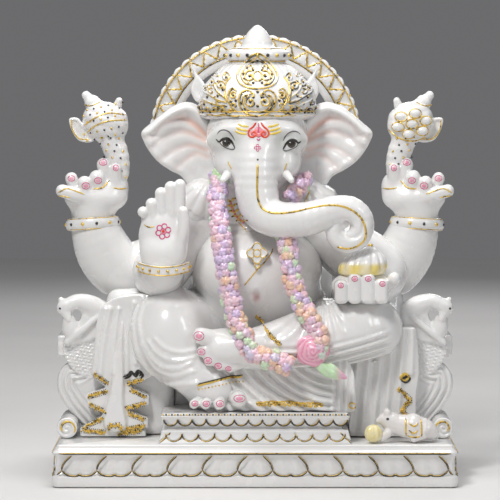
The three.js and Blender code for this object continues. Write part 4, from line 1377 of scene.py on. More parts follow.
def carve_vessels(look):
    """A pot on a bent stem above each rear hand: a tilted belly, a capped tip, a knob and a curved lip,
    banded and dotted in gold and black; the right one carries a ring of petals on its belly."""
    for side, way in SIDES:
        shift = 6.0 if way > 0 else 0.0
        ends = sorted((108 * way, 206 * way))
        clay = Clay((ends[0], -46, 294), (ends[1], 18, 396), 0.9)
        x, y, z = clay.x * way - shift, clay.y, clay.z

        def limb(points, spacing=3.0):
            return clay.limb(mirrored([(px + shift, *rest) for px, *rest in points], way), spacing)

        stem = limb([(140, -16, 298, 9.5), (138.5, -16, 312, 11.2), (141, -16, 328, 12.2),
                     (146, -15, 341, 12.6)])
        beads = 0.7 * np.cos((z + 0.25 * x) / 4.7 * pi)
        tilt, across = 0.965 * (z - 360.5) - 0.26 * (x - 152), 0.26 * (z - 360.5) + 0.965 * (x - 152)
        belly = np.sqrt((across / 23.5) ** 2 + ((y + 14) / 21.5) ** 2 + (tilt / 18.5) ** 2)
        belly = (belly - 1) * 18.5
        tiers = 0.8 * np.abs(np.cos(tilt / 5.6 * pi / 2)) * ramp(23, 18, np.abs(across))
        lower = clay.ball(((150 + shift) * way, -14, 352), (20, 18, 14))
        shape = merged(merged(stem - 0.3 * beads, lower, 4), belly - tiers, 4)
        collar = clay.rod(*mirrored([(161 + shift, -14, 373, 9.6), (165 + shift, -14, 378.2, 8.2)], way))
        shape = merged(shape, collar, 1.2)
        shape = merged(shape, limb([(167.4, -14, 381, 5.6), (171.6, -14, 386, 4.5)], 2), 0.6)
        shape = merged(shape, limb([(139.5, -16, 376, 4.6), (138.0, -17, 380.5, 3.6)], 2), 0.8)
        lip_ring = [(188, 363), (186, 350), (178.5, 340), (164, 340), (166, 350), (174, 356), (180, 363)]
        lip = clay.outline(mirrored([(px + shift * 0.4, pz) for px, pz in lip_ring], way))
        hollow = 2.6 * ramp(-1.5, -4.5, lip)
        shape = merged(shape, clay.slab(lip, -20 + hollow, -9, 2.5), 2)
        if way > 0:
            spin = [(cos(k * pi / 3 + 0.3), sin(k * pi / 3 + 0.3)) for k in range(6)] + [(0, 0)]
            petals = [(158.5 + 14.6 * c, 357.5 + 10.6 * s) for c, s in spin]
            for cx, cz in petals:
                boss = clay.ball((cx, -31.5 + 0.014 * (cx - 158) ** 2, cz), (6.6, 6, 5.2))
                shape = merged(shape, boss, 1.0)
        clay.cast("held_vessel_" + side, shape)
        face = Front("held_vessel_" + side)

        def stroke(points, closed=False):
            return face.stroke(mirrored([(px + shift, pz) for px, pz in points], way), 0.3, 0.9, closed)

        strokes = [stroke([(174, 376.6), (166, 375.4), (157, 379.4)]),
                   stroke([(px - 0.6 * shift, pz) for px, pz in ((186.4, 362), (185, 351), (178.4, 342.4),
            (168, 341.4))])]
        bands = [stroke([(174, 355), (162, 363), (150, 368), (131, 366.6)]),
                 stroke([(171, 348), (161, 355.6), (149, 360), (129.6, 361.4)])]
        if way > 0:
            bands = [stroke(oval(cx - shift, cz, 6.2, 4.6, 8), True) for cx, cz in petals]
            bands.append(stroke([(129, 352), (140, 343), (156, 340), (168, 344)]))
        painted("vessel_bands_" + side, strokes + bands, "gold", look.line * 1.25, 0.9)
        rows = [(131 + 8.4 * k + 4.2 * (r % 2) + (z0 > 320) * 0.3 * (z0 - 320), z0 + 0.5 * k)
                for r, z0 in enumerate(np.arange(303, 346, 6.6)) for k in range(3)]
        if way < 0:
            rows += [(134 + 7.2 * k + 3.6 * (r % 2), z0 - 1.6 * k + 6)
                     for r, z0 in enumerate((342, 348.5, 361, 367, 373)) for k in range(6)]
        spots = face.lay(mirrored([(px + shift, pz) for px, pz in rows], way), 0.1)
        dotted("vessel_{}_dots_" + side, spots, 1.25, 1.15)


def carve_front_left_arm(look):
    """The blessing arm: forearm, bangle, and an open palm facing out, fingers up."""
    clay = Clay((-130, -98, 176), (-34, 24, 288), 1.2)
    shape = clay.limb([(-56, -12, 262, 24), (-80, -26, 230, 28), (-97, -44, 208, 27), (-93, -66, 214, 22),
                       (-91, -72, 226, 19)], 6)
    clay.cast("front_arm_left", shape)
    clay = Clay((-126, -112, 186), (-56, -34, 236), 0.9)
    x, y, z = clay.x + 91, clay.y + 72, clay.z - 213 + 0.0055 * (clay.x + 91) ** 2 * -1
    reach = np.sqrt(x**2 + (y * 1.05) ** 2)
    ring = np.sqrt(np.maximum(np.abs(reach - 22.5) - 2, 0) ** 2 + np.maximum(np.abs(z) - 3.2, 0) ** 2) - 1.6
    clay.cast("front_bangle_left", ring)
    clay = Clay((-124, -104, 208), (-56, -50, 314), 0.9)
    shape = clay.limb([(-91, -70, 214, 18), (-91, -72, 228, 19)], 5)
    palm = clay.ball((-91, -74, 246), (25, 12, 30))
    shape = merged(shape, palm, 8)
    shape = merged(shape, clay.ball((-80, -79, 232), (12, 9, 15)), 6)
    shape = merged(shape, clay.ball((-104, -79, 230), (10, 8, 14)), 6)
    fingers = [(-111.5, 271, 5.4, -107), (-102.8, 279, 6.0, -99), (-93.4, 289.5, 6.2, -91),
               (-83.8, 295.5, 6.2, -83), (-74.6, 298, 5.8, -76)]
    for x1, top, radius, x0 in fingers:
        finger = clay.limb([(x0, -75, 252, radius + 0.6), ((x0 + x1) / 2, -76, 270, radius + 0.3),
                            (x1, -79, top, radius)], 4)
        shape = merged(shape, finger, 0.8)
    thumb = clay.limb([(-76, -80, 238, 8), (-71, -85, 254, 6.4), (-71, -88, 272, 5.2)], 4)
    shape = merged(shape, thumb, 3.5)
    clay.cast("front_hand_left", shape)
    face = Front("front_hand_left")
    centre = np.array([-91.0, 252.0])
    petals = []
    for angle in np.linspace(0, 2 * pi, 6, endpoint=False) + 0.3:
        at = centre + 5.0 * np.array([cos(angle), sin(angle)])
        petals.append(oval(*at, 2.6, 2.6, 6))
    face.draw("palm_rosette", petals, "rosy", 1.3, 0.6, 0.15, 0.7, True, slot="marble")
    dabs("palm_rosette_heart", [face.patch(oval(*centre, 1.6, 1.6, 6))], "red")
    face.draw("palm_gold", [[(-110.5, 258.5), (-105, 256), (-99.5, 257)]], "gold", look.line * 1.2, 0.9)
    turn = np.linspace(0, 2 * pi, 121)
    bow = 0.0055 * (24.5 * np.cos(turn)) ** 2

    def rim(lift):
        return np.column_stack([-91 + 26.2 * np.cos(turn), -72 + 25 * np.sin(turn), 213 + lift + bow])

    painted("front_left_bangle_rims", [rim(-4.2), rim(4.2)], "gold", look.line, 1.1)
    around = np.linspace(0, 2 * pi, 18, endpoint=False)
    beads = np.column_stack([-91 + 26.6 * np.cos(around), -72 + 25.4 * np.sin(around),
                             213 + 0.0055 * (24.5 * np.cos(around)) ** 2])
    scatter("front_left_bangle_dots", beads, 1.5, "gold")


def carve_front_right_arm():
    """The offering arm: its hand lies palm up on the knee, four fingers towards the front, and holds a
    fluted sweet."""
    clay = Clay((32, -100, 168), (162, 24, 288), 1.2)
    shape = clay.limb([(58, -12, 262, 24), (92, -20, 234, 28), (126, -28, 209, 28), (126, -48, 198, 22),
                       (114, -66, 193, 18)], 6)
    clay.cast("front_arm_right", shape)
    clay = Clay((64, -104, 168), (150, -44, 226), 0.9)
    shape = merged(clay.ball((106, -74, 197), (30, 20, 15)), clay.rod((116, -60, 196, 17),
        (126, -52, 198, 17)), 8)
    for x1, top in ((85.5, 204), (98.8, 210.5), (112.1, 210.5), (125.4, 205.5)):
        finger = clay.block((x1 - 6.7, -98, 180.5), (x1 + 6.7, -72, top), 5.0)
        shape = merged(shape, finger, 0.5)
    shape = merged(shape, clay.limb([(128, -66, 197, 8), (136, -74, 201, 6.6), (138.5, -82, 205, 6.2)], 4), 3)
    clay.cast("front_hand_right", shape)
    face = Front("front_hand_right")
    nails = [(84.8, 199.2, 2.6, 2.4), (98.6, 205.8, 2.9, 2.5), (112.0, 205.8, 2.9, 2.5),
             (126.0, 200.8, 2.7, 2.5)]
    paint_nails("finger_nails", face, nails)
    clay = Clay((84, -78, 172), (158, -20, 222), 1.0)
    x, y, z = clay.x - 124, clay.y + 50, clay.z - 197
    across = 0.82 * x - 0.57 * y
    reach = np.sqrt((0.57 * x + 0.82 * y) ** 2 + z**2)
    ring = np.sqrt(np.maximum(np.abs(reach - 20.5) - 2, 0) ** 2
                   + np.maximum(np.abs(across) - 3.4, 0) ** 2) - 1.5
    clay.cast("front_bangle_right", ring)
    low, high = box_mm("modak_sweet")
    middle = (low + high) / 2
    tall = 237 - low[2]
    profile = curve([(22, 0), (25.5, 0.06 * tall), (26.2, 0.2 * tall), (25.2, 0.4 * tall), (21.5, 0.6 * tall),
                     (15.5, 0.77 * tall), (8, 0.9 * tall), (4.4, 0.95 * tall), (2.4, tall)], 0.7)
    wide = (high[0] - low[0]) / 52
    deep = (high[1] - low[1]) / 52
    turn = np.linspace(0, 2 * pi, 150, endpoint=False)[None]
    height = profile[:, 1:]
    flute = 1 + (0.09 * (np.abs(np.cos(turn * 7 + height * 0.06)) - 0.6)
                 * ramp(0.1, 0.3, height / tall) * ramp(0.95, 0.7, height / tall))
    lean = 9 * (height / tall) ** 1.4
    grid = np.stack([middle[0] + lean + wide * profile[:, :1] * flute * np.cos(turn),
                     middle[1] + deep * profile[:, :1] * flute * np.sin(turn),
                     low[2] + np.broadcast_to(height, (len(profile), 150))], -1)
    colour = np.zeros((*grid.shape[:2], 4))
    colour[..., :3] = (0.9, 0.7, 0.1)
    band = ramp(0.5, 0.3, height / tall)
    colour[..., 3] = np.broadcast_to(0.85 * band * (0.75 + 0.25 * np.cos(turn * 7 + 1)), grid.shape[:2])
    lofted("modak_sweet", grid, slot="sweet", nodes=("modak_sweet",), tint=colour)
    knob = np.array([[middle[0] + 9, middle[1], low[2] + tall - 1.0]])
    scatter("modak_knob", knob, 3.2, "gold")


# ---------------------------------------------------------------- garland and jewels

STRAND_LEFT = [(-36, -54, 306), (-37, -66, 288), (-36, -78, 268), (-33.5, -88, 248), (-31, -93, 229),
               (-28, -95, 208), (-25, -95, 192), (-20, -97, 170), (-11, -102, 146), (-1, -105, 133),
               (12, -107, 128), (32, -108, 121)]
STRAND_RIGHT = [(31, -84, 246), (33, -89, 232), (36, -93, 210), (44, -96, 186), (53, -99, 169),
                (61, -102, 155), (64, -104, 142), (62, -105, 132)]
STRAND_SHOULDER = [(50, -44, 300), (42, -58, 292), (36, -62, 284)]
FLOWER_SPACING = 7.0


def carve_garland(flowers):
    """A rope of small five-petalled flowers and buds in several pastels, and a leafy bud. Each flower is
    petals bowed outwards round a boss, and sits on the rope at an even twist."""
    seeds = np.random.default_rng(7)
    shades = np.array([flowers.lilac, flowers.pink, flowers.peach, flowers.mint])
    at, colours, sizes, heading = [], [], [], []
    for strand, width in ((STRAND_LEFT, 6.6), (STRAND_RIGHT, 6.2), (STRAND_SHOULDER, 5.6)):
        path = curve(strand, FLOWER_SPACING)
        along = np.gradient(path, axis=0)
        along /= np.linalg.norm(along, axis=1, keepdims=True)
        side = np.cross(along, (0, -1, 0.0))
        side /= np.linalg.norm(side, axis=1, keepdims=True)
        out = np.cross(side, along)
        for number, centre in enumerate(path):
            for angle in (-1.5, -0.5, 0.5, 1.5):
                swing = angle + 0.5 * (number % 2) - 0.25
                way = sin(swing) * side[number] + cos(swing) * out[number]
                at.append(centre + way * width + seeds.normal(0, 0.8, 3))
                heading.append(way + seeds.normal(0, 0.15, 3))
                low_part = ramp(235, 130, centre[2])
                outer = ramp(0.4, 1.2, -angle if strand is STRAND_LEFT else 0.0)
                odds = np.array([0.46 - 0.34 * low_part, 0.42,
                                 0.03 + 0.2 * low_part + 0.9 * outer * low_part, 0.12])
                if strand is STRAND_RIGHT:
                    odds = np.array([0.26, 0.42, 0.2, 0.14])
                if number < 2 and strand is STRAND_LEFT:
                    odds = np.array([0.05, 0.05, 0.0, 0.9])
                pick = seeds.choice(4, p=odds / odds.sum())
                other = seeds.choice(4, p=odds / odds.sum())
                blend = seeds.uniform(0, 0.35)
                colours.append((1 - blend) * shades[pick] + blend * shades[other])
                sizes.append(5.2 + seeds.uniform(-0.5, 0.9))
    at.append(curve(STRAND_LEFT, FLOWER_SPACING)[0] + (0, -5.5, 1))
    heading.append(np.array([-0.2, -1, 0.2]))
    colours.append(np.array([0.5, 0.8, 0.34]))
    sizes.append(8.5)
    at, heading, sizes = np.array(at), np.array(heading), np.array(sizes)
    heading /= np.linalg.norm(heading, axis=1, keepdims=True)
    colours = np.array(colours)
    turn = np.linspace(0, 2 * pi, 20, endpoint=False)
    reach = np.array([0.0, 0.2, 0.42, 0.68, 0.92, 1.0, 0.75])
    rise = np.array([0.78, 0.76, 0.62, 0.58, 0.34, 0.0, -0.5])
    lobe = np.abs(np.cos(turn * 2.5))[None] ** 0.6
    petals = 1 - 0.16 * (1 - lobe) * ramp(0.3, 0.9, reach)[:, None]
    local = np.stack([
        reach[:, None] * petals * np.cos(turn), reach[:, None] * petals * np.sin(turn),
        rise[:, None] - 0.2 * (1 - lobe) * hump(reach[:, None] - 0.75, 0.4),
    ], -1).reshape(-1, 3)
    spin = seeds.normal(0, 1, (len(at), 3))
    across = np.cross(heading, spin)
    across /= np.linalg.norm(across, axis=1, keepdims=True)
    beside = np.cross(heading, across)
    axes = np.stack([across, beside, heading], 1)
    points = at[:, None] + np.einsum("pk,nkj->npj", local, axes) * sizes[:, None, None]
    skin = quads(7, 20, False, True)
    faces = (skin[None] + (np.arange(len(at)) * 140)[:, None, None]).reshape(-1, 4)
    faces = outwards(points.reshape(-1, 3), faces)
    # Each flower's colour with light and shade painted in: pale is partly a pale wash over every flower and
    # partly a painted highlight on the middle of each petal; deep is painted shade in the notches between the
    # petals and along their rims.
    pale = (0.12 + 0.25 * hump(reach[:, None] - 0.7, 0.35) * lobe).reshape(-1)[None, :, None]
    deep = (1.0 - 0.14 * (1 - lobe) * ramp(0.3, 0.7, reach)[:, None]
            - 0.12 * ramp(0.9, 1.0, reach)[:, None]).reshape(-1)[None, :, None]
    tint = colours[:, None] * deep * (1 - pale) + np.array([0.97, 0.93, 0.93]) * pale
    tint = np.concatenate([np.clip(tint, 0, 1), np.ones((len(at), 140, 1))], -1)
    surface("garland", points.reshape(-1, 3), faces, "petals", "garland_flowers", ("garland",),
            tint.reshape(-1, 4))
    weld(made["garland"])
    cores, faces, start = [], [], 0
    for strand in (STRAND_LEFT, STRAND_RIGHT, STRAND_SHOULDER):
        path = curve(strand, 3.0)
        one, skin = bands([path], 13, 13, sides=12, taper=1.0)
        cores.append(one)
        faces.append(skin + start)
        start += len(one)
    core = np.concatenate(cores)
    tint = np.tile((0.8, 0.58, 0.66, 1.0), (len(core), 1))
    surface("garland_rope", core, np.concatenate(faces), "petals", "garland_flowers", tint=tint)
    weld(made["garland_rope"])


def carve_rose(flowers):
    """A full rose where the strands meet, and a bud with a leaf below it: petals are bowls whose rims
    wind round each other, worked as a spiral relief on a domed face."""
    low, high = box_mm("garland_rose")
    middle = (low + high) / 2
    clay = Clay(low - 5, high + 5, 0.8)
    x, y, z = clay.x - middle[0], clay.y, clay.z - middle[2]
    reach, turn = np.hypot(x, z), np.arctan2(z, x)
    outer = 16.5 + 1.0 * np.cos(turn * 5)

    def whorl(reach, turn):
        """How far across a petal's bowl a place is, from 0 at its root to 1 at its rim."""
        wind = reach / 4.1 + 0.24 * np.cos(3 * turn + reach / 2.6) * ramp(2, 6, reach) - turn / (2 * pi)
        return wind - np.floor(wind)

    saw = whorl(reach, turn)
    relief = 2.3 * saw * (1 - saw) ** 0.25 * ramp(0.5, 3, reach) + 3.6 * hump(reach, 8)
    front = low[1] - 0.5 + 0.018 * reach**2 - relief + 3.0
    shape = common(common(reach - outer, front - y, 3.0), y - high[1] - 2, 2)

    def blush(points):
        near = np.hypot(points[:, 0] - middle[0], points[:, 2] - middle[2])
        around = np.arctan2(points[:, 2] - middle[2], points[:, 0] - middle[0])
        mixed = (0.35 + 0.65 * ramp(0.1, 0.75, whorl(near, around)))[:, None]
        colour = np.array([0.78, 0.2, 0.38]) * (1 - mixed) + np.array(flowers.rose) * mixed
        return np.column_stack([colour, np.ones(len(points))])

    clay.cast("garland_rose", shape, "petals", slot="garland_rose", tint=blush)
    low, high = box_mm("garland_bud")
    clay = Clay(low - 4, high + 4, 0.8)
    middle = (low + high) / 2
    bud = clay.limb([(low[0] + 4, middle[1], high[2] - 3, 4.5), (middle[0], middle[1], middle[2], 7),
                     (high[0] - 3, middle[1], low[2] + 3, 2.6)], 2)
    bud = bud + 0.6 * np.sin((clay.x + clay.z) / 1.6)

    def shade(points):
        pink = ramp(middle[0] + 1, high[0] - 2, points[:, 0])[:, None]
        return np.column_stack([
            (1 - pink) * np.array(flowers.mint) + pink * np.array([0.85, 0.4, 0.6]), np.ones(len(points))
        ])

    clay.cast("garland_bud", bud, "petals", slot="garland_rose", tint=shade)


def carve_jewels(look):
    """A gilded collar, a four-lobed pendant on the chest, and the thread across the belly."""
    face = Front("torso", "head_and_trunk", "sleeve_left", "sleeve_right")
    low, high = box_mm("pendant")
    middle = (low + high) / 2
    clay = Clay((middle[0] - 16, low[1] - 3, middle[2] - 18), (middle[0] + 16, high[1] + 8, middle[2] + 18),
                0.7)
    x, y, z = clay.x - middle[0], clay.y, clay.z - middle[2] - 1
    lobes = np.hypot(x, z) - 9.6 - 1.6 * np.cos(4 * np.arctan2(z, x) + 0.0)
    drop = np.hypot(x, z + 12.6) - 3.2
    outline = np.minimum(lobes, drop)
    bead = 1.4 * hump(np.hypot(x, z), 3.2) + 1.0 * hump(lobes + 1.6, 1.1)
    shape = common(common(outline, low[1] + 2.0 - bead - y, 1.2), y - high[1] - 5, 1)
    clay.cast("pendant", shape, "marble", slot="painted_gold", nodes=("pendant",))
    jewel = Front("pendant", "torso")
    turn = np.linspace(0, 2 * pi, 49)[:-1]
    radius = 8.8 + 1.5 * np.cos(4 * turn)
    loop = np.column_stack([middle[0] + radius * np.cos(turn), middle[2] + 1 + radius * np.sin(turn)])
    inner = np.column_stack([middle[0] + 3.6 * np.cos(turn), middle[2] + 1 + 3.6 * np.sin(turn)])
    foot = np.column_stack([middle[0] + 2.2 * np.cos(turn), middle[2] - 11.6 + 2.2 * np.sin(turn)])
    strokes = [jewel.lay(np.vstack([ring, ring[:2]]), 0.25) for ring in (loop, inner, foot)]
    for angle in np.arange(4) * pi / 2 + pi / 4:
        ray = [(middle[0] + r * cos(angle), middle[2] + 1 + r * sin(angle)) for r in (3.6, 6.8)]
        strokes.append(jewel.stroke(ray, 0.25, 0.6))
    thread = [(18, 235), (16.6, 230.5), (11.6, 223.5), (1.4, 212.5), (-11.2, 197.2)]
    strokes.append(face.stroke(thread, 0.2))
    strokes.append(face.stroke([(-17, 259), (-12, 254), (-8, 249.5)], 0.2))
    strokes.append(face.stroke([(55, 291), (53, 285), (50, 280)], 0.2))
    painted("jewel_gold_lines", strokes, "gold", look.line * 1.1, 0.8)
    stem = curve([(-25, 281), (-23, 273), (-18.5, 265), (-11, 258)], 1.0)
    collar = [face.lay(stem, 0.2)]
    for x, z in stem[2:-2:6]:
        for way in (-1, 1):
            tip = (x + way * 6.4 - 0.6, z + 3.4 * (way > 0) + 0.6)
            collar.append(face.stroke([(x, z), (x + way * 3.4, z + 2.2 + 1.4 * (way > 0)), tip], 0.2))
    painted("collar_gold", collar, "gold", look.line * 2.2, 0.9)
    scatter("collar_dots", np.concatenate([path[-2:-1] for path in collar[1:]]) + (0, -0.5, 0), 0.75,
            "black")
    scatter("collar_drops", face.lay(stem[3:-1:4], 0.6), 1.3, "coral")


def carve_mouse(look):
    """A crouching mouse with a sweet between its paws and a gilded saddle cloth."""
    clay = Clay((110, -110, 42), (186, -74, 86), 0.8)
    shape = clay.limb([(134, -92, 62, 8.5), (146, -92, 59, 11), (160, -92, 57, 12), (170, -92, 55, 10),
                       (176, -92, 52, 7)], 4)
    shape = merged(shape, clay.limb([(135, -92, 64, 8), (129, -93, 66, 6), (123, -94, 64, 3)], 3), 4)
    for y in (-97, -87):
        ear = clay.ball((131.5, y, 72), (3.6, 2.2, 3.8))
        shape = merged(shape, ear, 1.5)
    shape = merged(shape, clay.rod((132, -98, 52, 4.5), (126, -99, 47, 3.6)), 3)
    shape = merged(shape, clay.rod((166, -99, 52, 6), (158, -100, 47, 4)), 3)
    shape = merged(shape, clay.limb([(176, -90, 50, 4), (181, -86, 47, 2.6), (178, -80, 46, 1.8)], 3), 2)
    saddle = clay.ball((157, -92, 58), (11, 13.6, 13.4))
    shape = merged(shape, common(saddle, np.abs(clay.x - 157) - 8, 1.5), 1.0)
    shape = np.maximum(shape, PLINTH_TOP + 0.4 - clay.z)

    def warm(points):
        return np.tile((0.85, 0.66, 0.56, 0.12), (len(points), 1))

    clay.cast("mouse", shape, tint=warm)
    clay = Clay((106, -112, 40), (132, -88, 66), 0.8)
    sweet = clay.ball((117.5, -100, 52), (8.6, 8, 9))
    sweet = sweet + 0.5 * np.cos(np.arctan2(clay.y + 100, clay.x - 117.5) * 9)
    clay.cast("mouse_sweet", np.maximum(sweet, PLINTH_TOP + 0.4 - clay.z), "lemon", (), slot="sweet")
    face = Front("mouse")
    dabs("mouse_eye", [face.patch(oval(131.5, 66.5, 1.5, 1.3, 6))], "black")
    edges = [[(149.5, 68), (149.5, 56), (150, 49)], [(164.5, 67), (165, 56), (165, 49)],
             [(151, 50), (158, 48.6), (164, 50)], [(152, 63), (157, 60), (162, 63)],
             [(152, 56), (157, 53), (162, 56)]]
    face.draw("mouse_saddle_gold", edges, "gold", look.line * 1.6, 0.8, 0.2)


# ---------------------------------------------------------------- painting


def paint_face(look):
    """Eyes, brows, the forehead marks and the long gold line down the trunk."""
    face = Front("head_and_trunk")
    whites, irises, pupils, glints, lines, lids = [], [], [], [], [], []
    for upper, lower, pupil, wing in EYES:
        upper, lower = np.array(upper), np.array(lower)
        whites.append(face.patch([*upper, *lower], 4, 0.1, 0.3))
        rise = upper[np.argsort(upper[:, 0])]
        for wide, tall, lift, discs in ((4.3, 4.6, 0.4, irises), (2.9, 3.1, 0.7, pupils)):
            disc = oval(*pupil, wide, tall, 10)
            disc[:, 1] = np.minimum(disc[:, 1], np.interp(disc[:, 0], rise[:, 0], rise[:, 1]))
            discs.append(face.patch(disc, 3, lift, 0.1))
        glints.append(face.patch(oval(pupil[0] - 1.4, pupil[1] + 1.0, 0.6, 0.6, 10), 3, 1.1, 0.1))
        lines.append(face.stroke([wing, *upper], 0.7, 0.6))
        lines.append(face.stroke(upper[:-1] + (0, 0.8), 0.6, 0.6))
        lids.append(face.stroke([upper[-1], *lower, upper[0]], 0.4, 0.6))
    dabs("eye_whites", whites, "marble")
    dabs("eye_irises", irises, "iris")
    dabs("eye_pupils", pupils, "black")
    dabs("eye_glints", glints, "marble")
    painted("eye_outlines", lines, "black", 1.7, 0.8, slot="marble", taper=5)
    painted("eyelid_creases", lids, "grey", 0.9, 0.4, slot="marble")
    face.draw("brows", BROWS, "grey", 1.2, 0.5, 0.2, 0.8, slot="marble", taper=6)
    strokes = [[(-17.5, 358.4), (-12, 356.4), (-6, 355.6)], [(-19, 355), (-13, 352.6), (-7, 351.8)],
               [(-20, 351.6), (-14, 349.2), (-8, 348.4)]]
    strokes += [[(6.4 - x, z) for x, z in stroke] for stroke in strokes]
    face.draw("tilak_yellow_strokes", strokes, "yellow", 2.1, 0.8, 0.3, 0.7, slot="marble")
    lobe = [(1.2, 360), (-2, 355.6), (-5.6, 352.4), (-6.6, 348.4), (-4.2, 345.6), (-0.6, 346.2), (0.6, 348.8),
            (-1.4, 350.6), (-3.4, 349)]
    both = [lobe, [(6.8 - x, z) for x, z in lobe]]
    face.draw("tilak_outline", both, "red", 1.9, 0.9, 0.45, 0.7, slot="marble")
    bulb = [(3.4, 356), (-1, 353), (-4.6, 350.6), (-4.0, 347.4), (0, 346.6), (3.4, 345), (6.8, 346.6),
            (10.8, 347.4), (11.4, 350.6), (7.8, 353)]
    dabs("tilak_bulb", [face.patch(bulb, 4, 0.2, 0.3)], "coral")
    middle = [[(3.4, 359.6), (3.4, 354), (3.4, 349)], [(1.4, 344.4), (3.4, 342.6), (5.4, 344.4)]]
    face.draw("tilak_middle", middle, "rosy", 1.5, 0.8, 0.5, 0.6, slot="marble")
    petals = [oval(x, z, 1.2, 1.2, 5) for x, z in oval(2.6, 335, 2.2, 2.2, 4)]
    face.draw("brow_rosette", petals, "rosy", 0.8, 0.5, 0.2, 0.5, True, slot="marble")
    dabs("trunk_dot", [face.patch(oval(2.6, 323.4, 1.0, 1.0, 6), 3, 0.2, 0.2)], "black")
    trunk = [(2.6, 319.2), (2.2, 305.4), (2.2, 291.6), (3.4, 283), (6.8, 276.1), (14.4, 271.8), (24.6, 271),
             (38.1, 272.3), (55, 276.1), (71.9, 278.7), (85.5, 277.8), (97.3, 272.7), (105.8, 264.1),
             (109.2, 253.7), (108.3, 245.1), (102.4, 239.1), (92.2, 235.7), (80.4, 237.4)]
    face.draw("trunk_gold_line", [trunk], "gold", look.line * 1.9, 1.0)
    ticks = [[(-27, 321), (-25, 316.5), (-23, 313)], [(31.5, 320), (30.5, 316), (29, 312)]]
    face.draw("tusk_gold_ticks", ticks, "gold", look.line, 0.8, 0.25, 0.6)


def paint_cloth(look):
    """Gilded hems: scribbled rings along the foot of the hanging cloth, the trouser hem above the planted
    foot, and a stroke across the lap."""
    cloth = Front("hanging_cloth", "leg_down", "foot_down")
    wave = np.linspace(0, 1, 240)
    scribble = np.column_stack([1 + 67 * wave + 2.6 * np.sin(wave * 26 * pi),
                                80.2 + 1.9 * np.cos(wave * 26 * pi) + 1.0 * np.sin(wave * 5)])
    painted("cloth_hem_scribble", [cloth.lay(scribble, 0.3)], "gold", 1.7, 0.9)
    heaps = np.column_stack([np.linspace(2, 66, 40), 80.2 + 1.6 * np.sin(np.arange(40) * 2.1)])
    scatter("cloth_hem_grains", cloth.lay(heaps, 0.2), 1.15, "gold")
    hem = cloth.stroke([(-58, 99.5), (-44, 103), (-28, 106), (-12, 107.5)], 0.3)
    painted("trouser_hem", [hem], "gold", look.line * 2.6, 1.2)
    painted("trouser_hem_shade", [hem + (0, -0.3, 1.2)], "black", look.line * 1.2, 1.0)
    row = np.column_stack([np.linspace(-56, -12, 14), 95.5 + 7 * np.sin(np.linspace(0, 1.4, 14))])
    scatter("trouser_hem_dots", cloth.lay(row, 0.1), 0.9, "gold")
    lap = Front("torso", "leg_folded")
    gilded_hem("lap_gilding", [lap.stroke([(1, 165), (9, 158), (16, 149), (25, 141)], 0.3)], 3.0)
    bunch = Front("hanging_cloth", "cloth_cascade_right", "lotus_step", "throne_seat_and_back")
    bunch.draw("cloth_flower_gold", [oval(97, 78, 3.6, 2.6, 8)], "gold", 1.4, 0.8, 0.3, 0.8, True)


# ---------------------------------------------------------------- add-on


def hue(name, description, default):
    """A colour that a user may change."""
    return FloatVectorProperty(name=name, description=description, size=3, subtype="COLOR", min=0, max=1,
                               default=default)


def share(name, description, default):
    """A share from nothing to all that a user may change."""
    return FloatProperty(name=name, description=description, subtype="FACTOR", min=0, max=1, default=default)


def length(name, description, least, most, default):
    """A length in metres that a user may change."""
    return FloatProperty(name=name, description=description, unit="LENGTH", precision=4, min=least, max=most,
                         default=default)


class Look(bpy.types.PropertyGroup):
    """Colours, polish and carving that a user would change."""

    marble: hue("Marble", "Colour of the polished cast marble", (0.87, 0.863, 0.855))
    cloud: hue("Clouds", "Colour of the soft clouds in the marble", (0.74, 0.735, 0.73))
    clouding: share("Clouding", "How strongly the clouds show", 0.55)
    glow: share("Glow", "How much light scatters under the surface", 0.12)
    gold: hue("Gold", "Colour of the gold paint", (0.9, 0.62, 0.13))
    gold_wear: share("Gold wear", "How dark the thin places of the gold paint are", 0.8)
    line_width: length("Line width", "Width of a painted gold line", 0.0004, 0.003, 0.0011)
    petal_height: length("Petal height", "How far the plinth's petals stand out", 0.0005, 0.004, 0.0019)

    @property
    def line(self):
        """Width of a painted line, in millimetres."""
        return self.line_width / MM

    @property
    def petal_depth(self):
        """How far the plinth's petals stand out, in millimetres."""
        return self.petal_height / MM


class Flowers(bpy.types.PropertyGroup):
    """Colours of the garland."""

    lilac: hue("Lilac", "Colour of the lilac flowers", (0.66, 0.46, 0.8))
    pink: hue("Pink", "Colour of the pink flowers", (0.9, 0.52, 0.66))
    peach: hue("Peach", "Colour of the peach flowers", (0.95, 0.52, 0.3))
    mint: hue("Mint", "Colour of the leaves", (0.58, 0.82, 0.5))
    rose: hue("Rose", "Colour of the rose", (0.93, 0.5, 0.62))


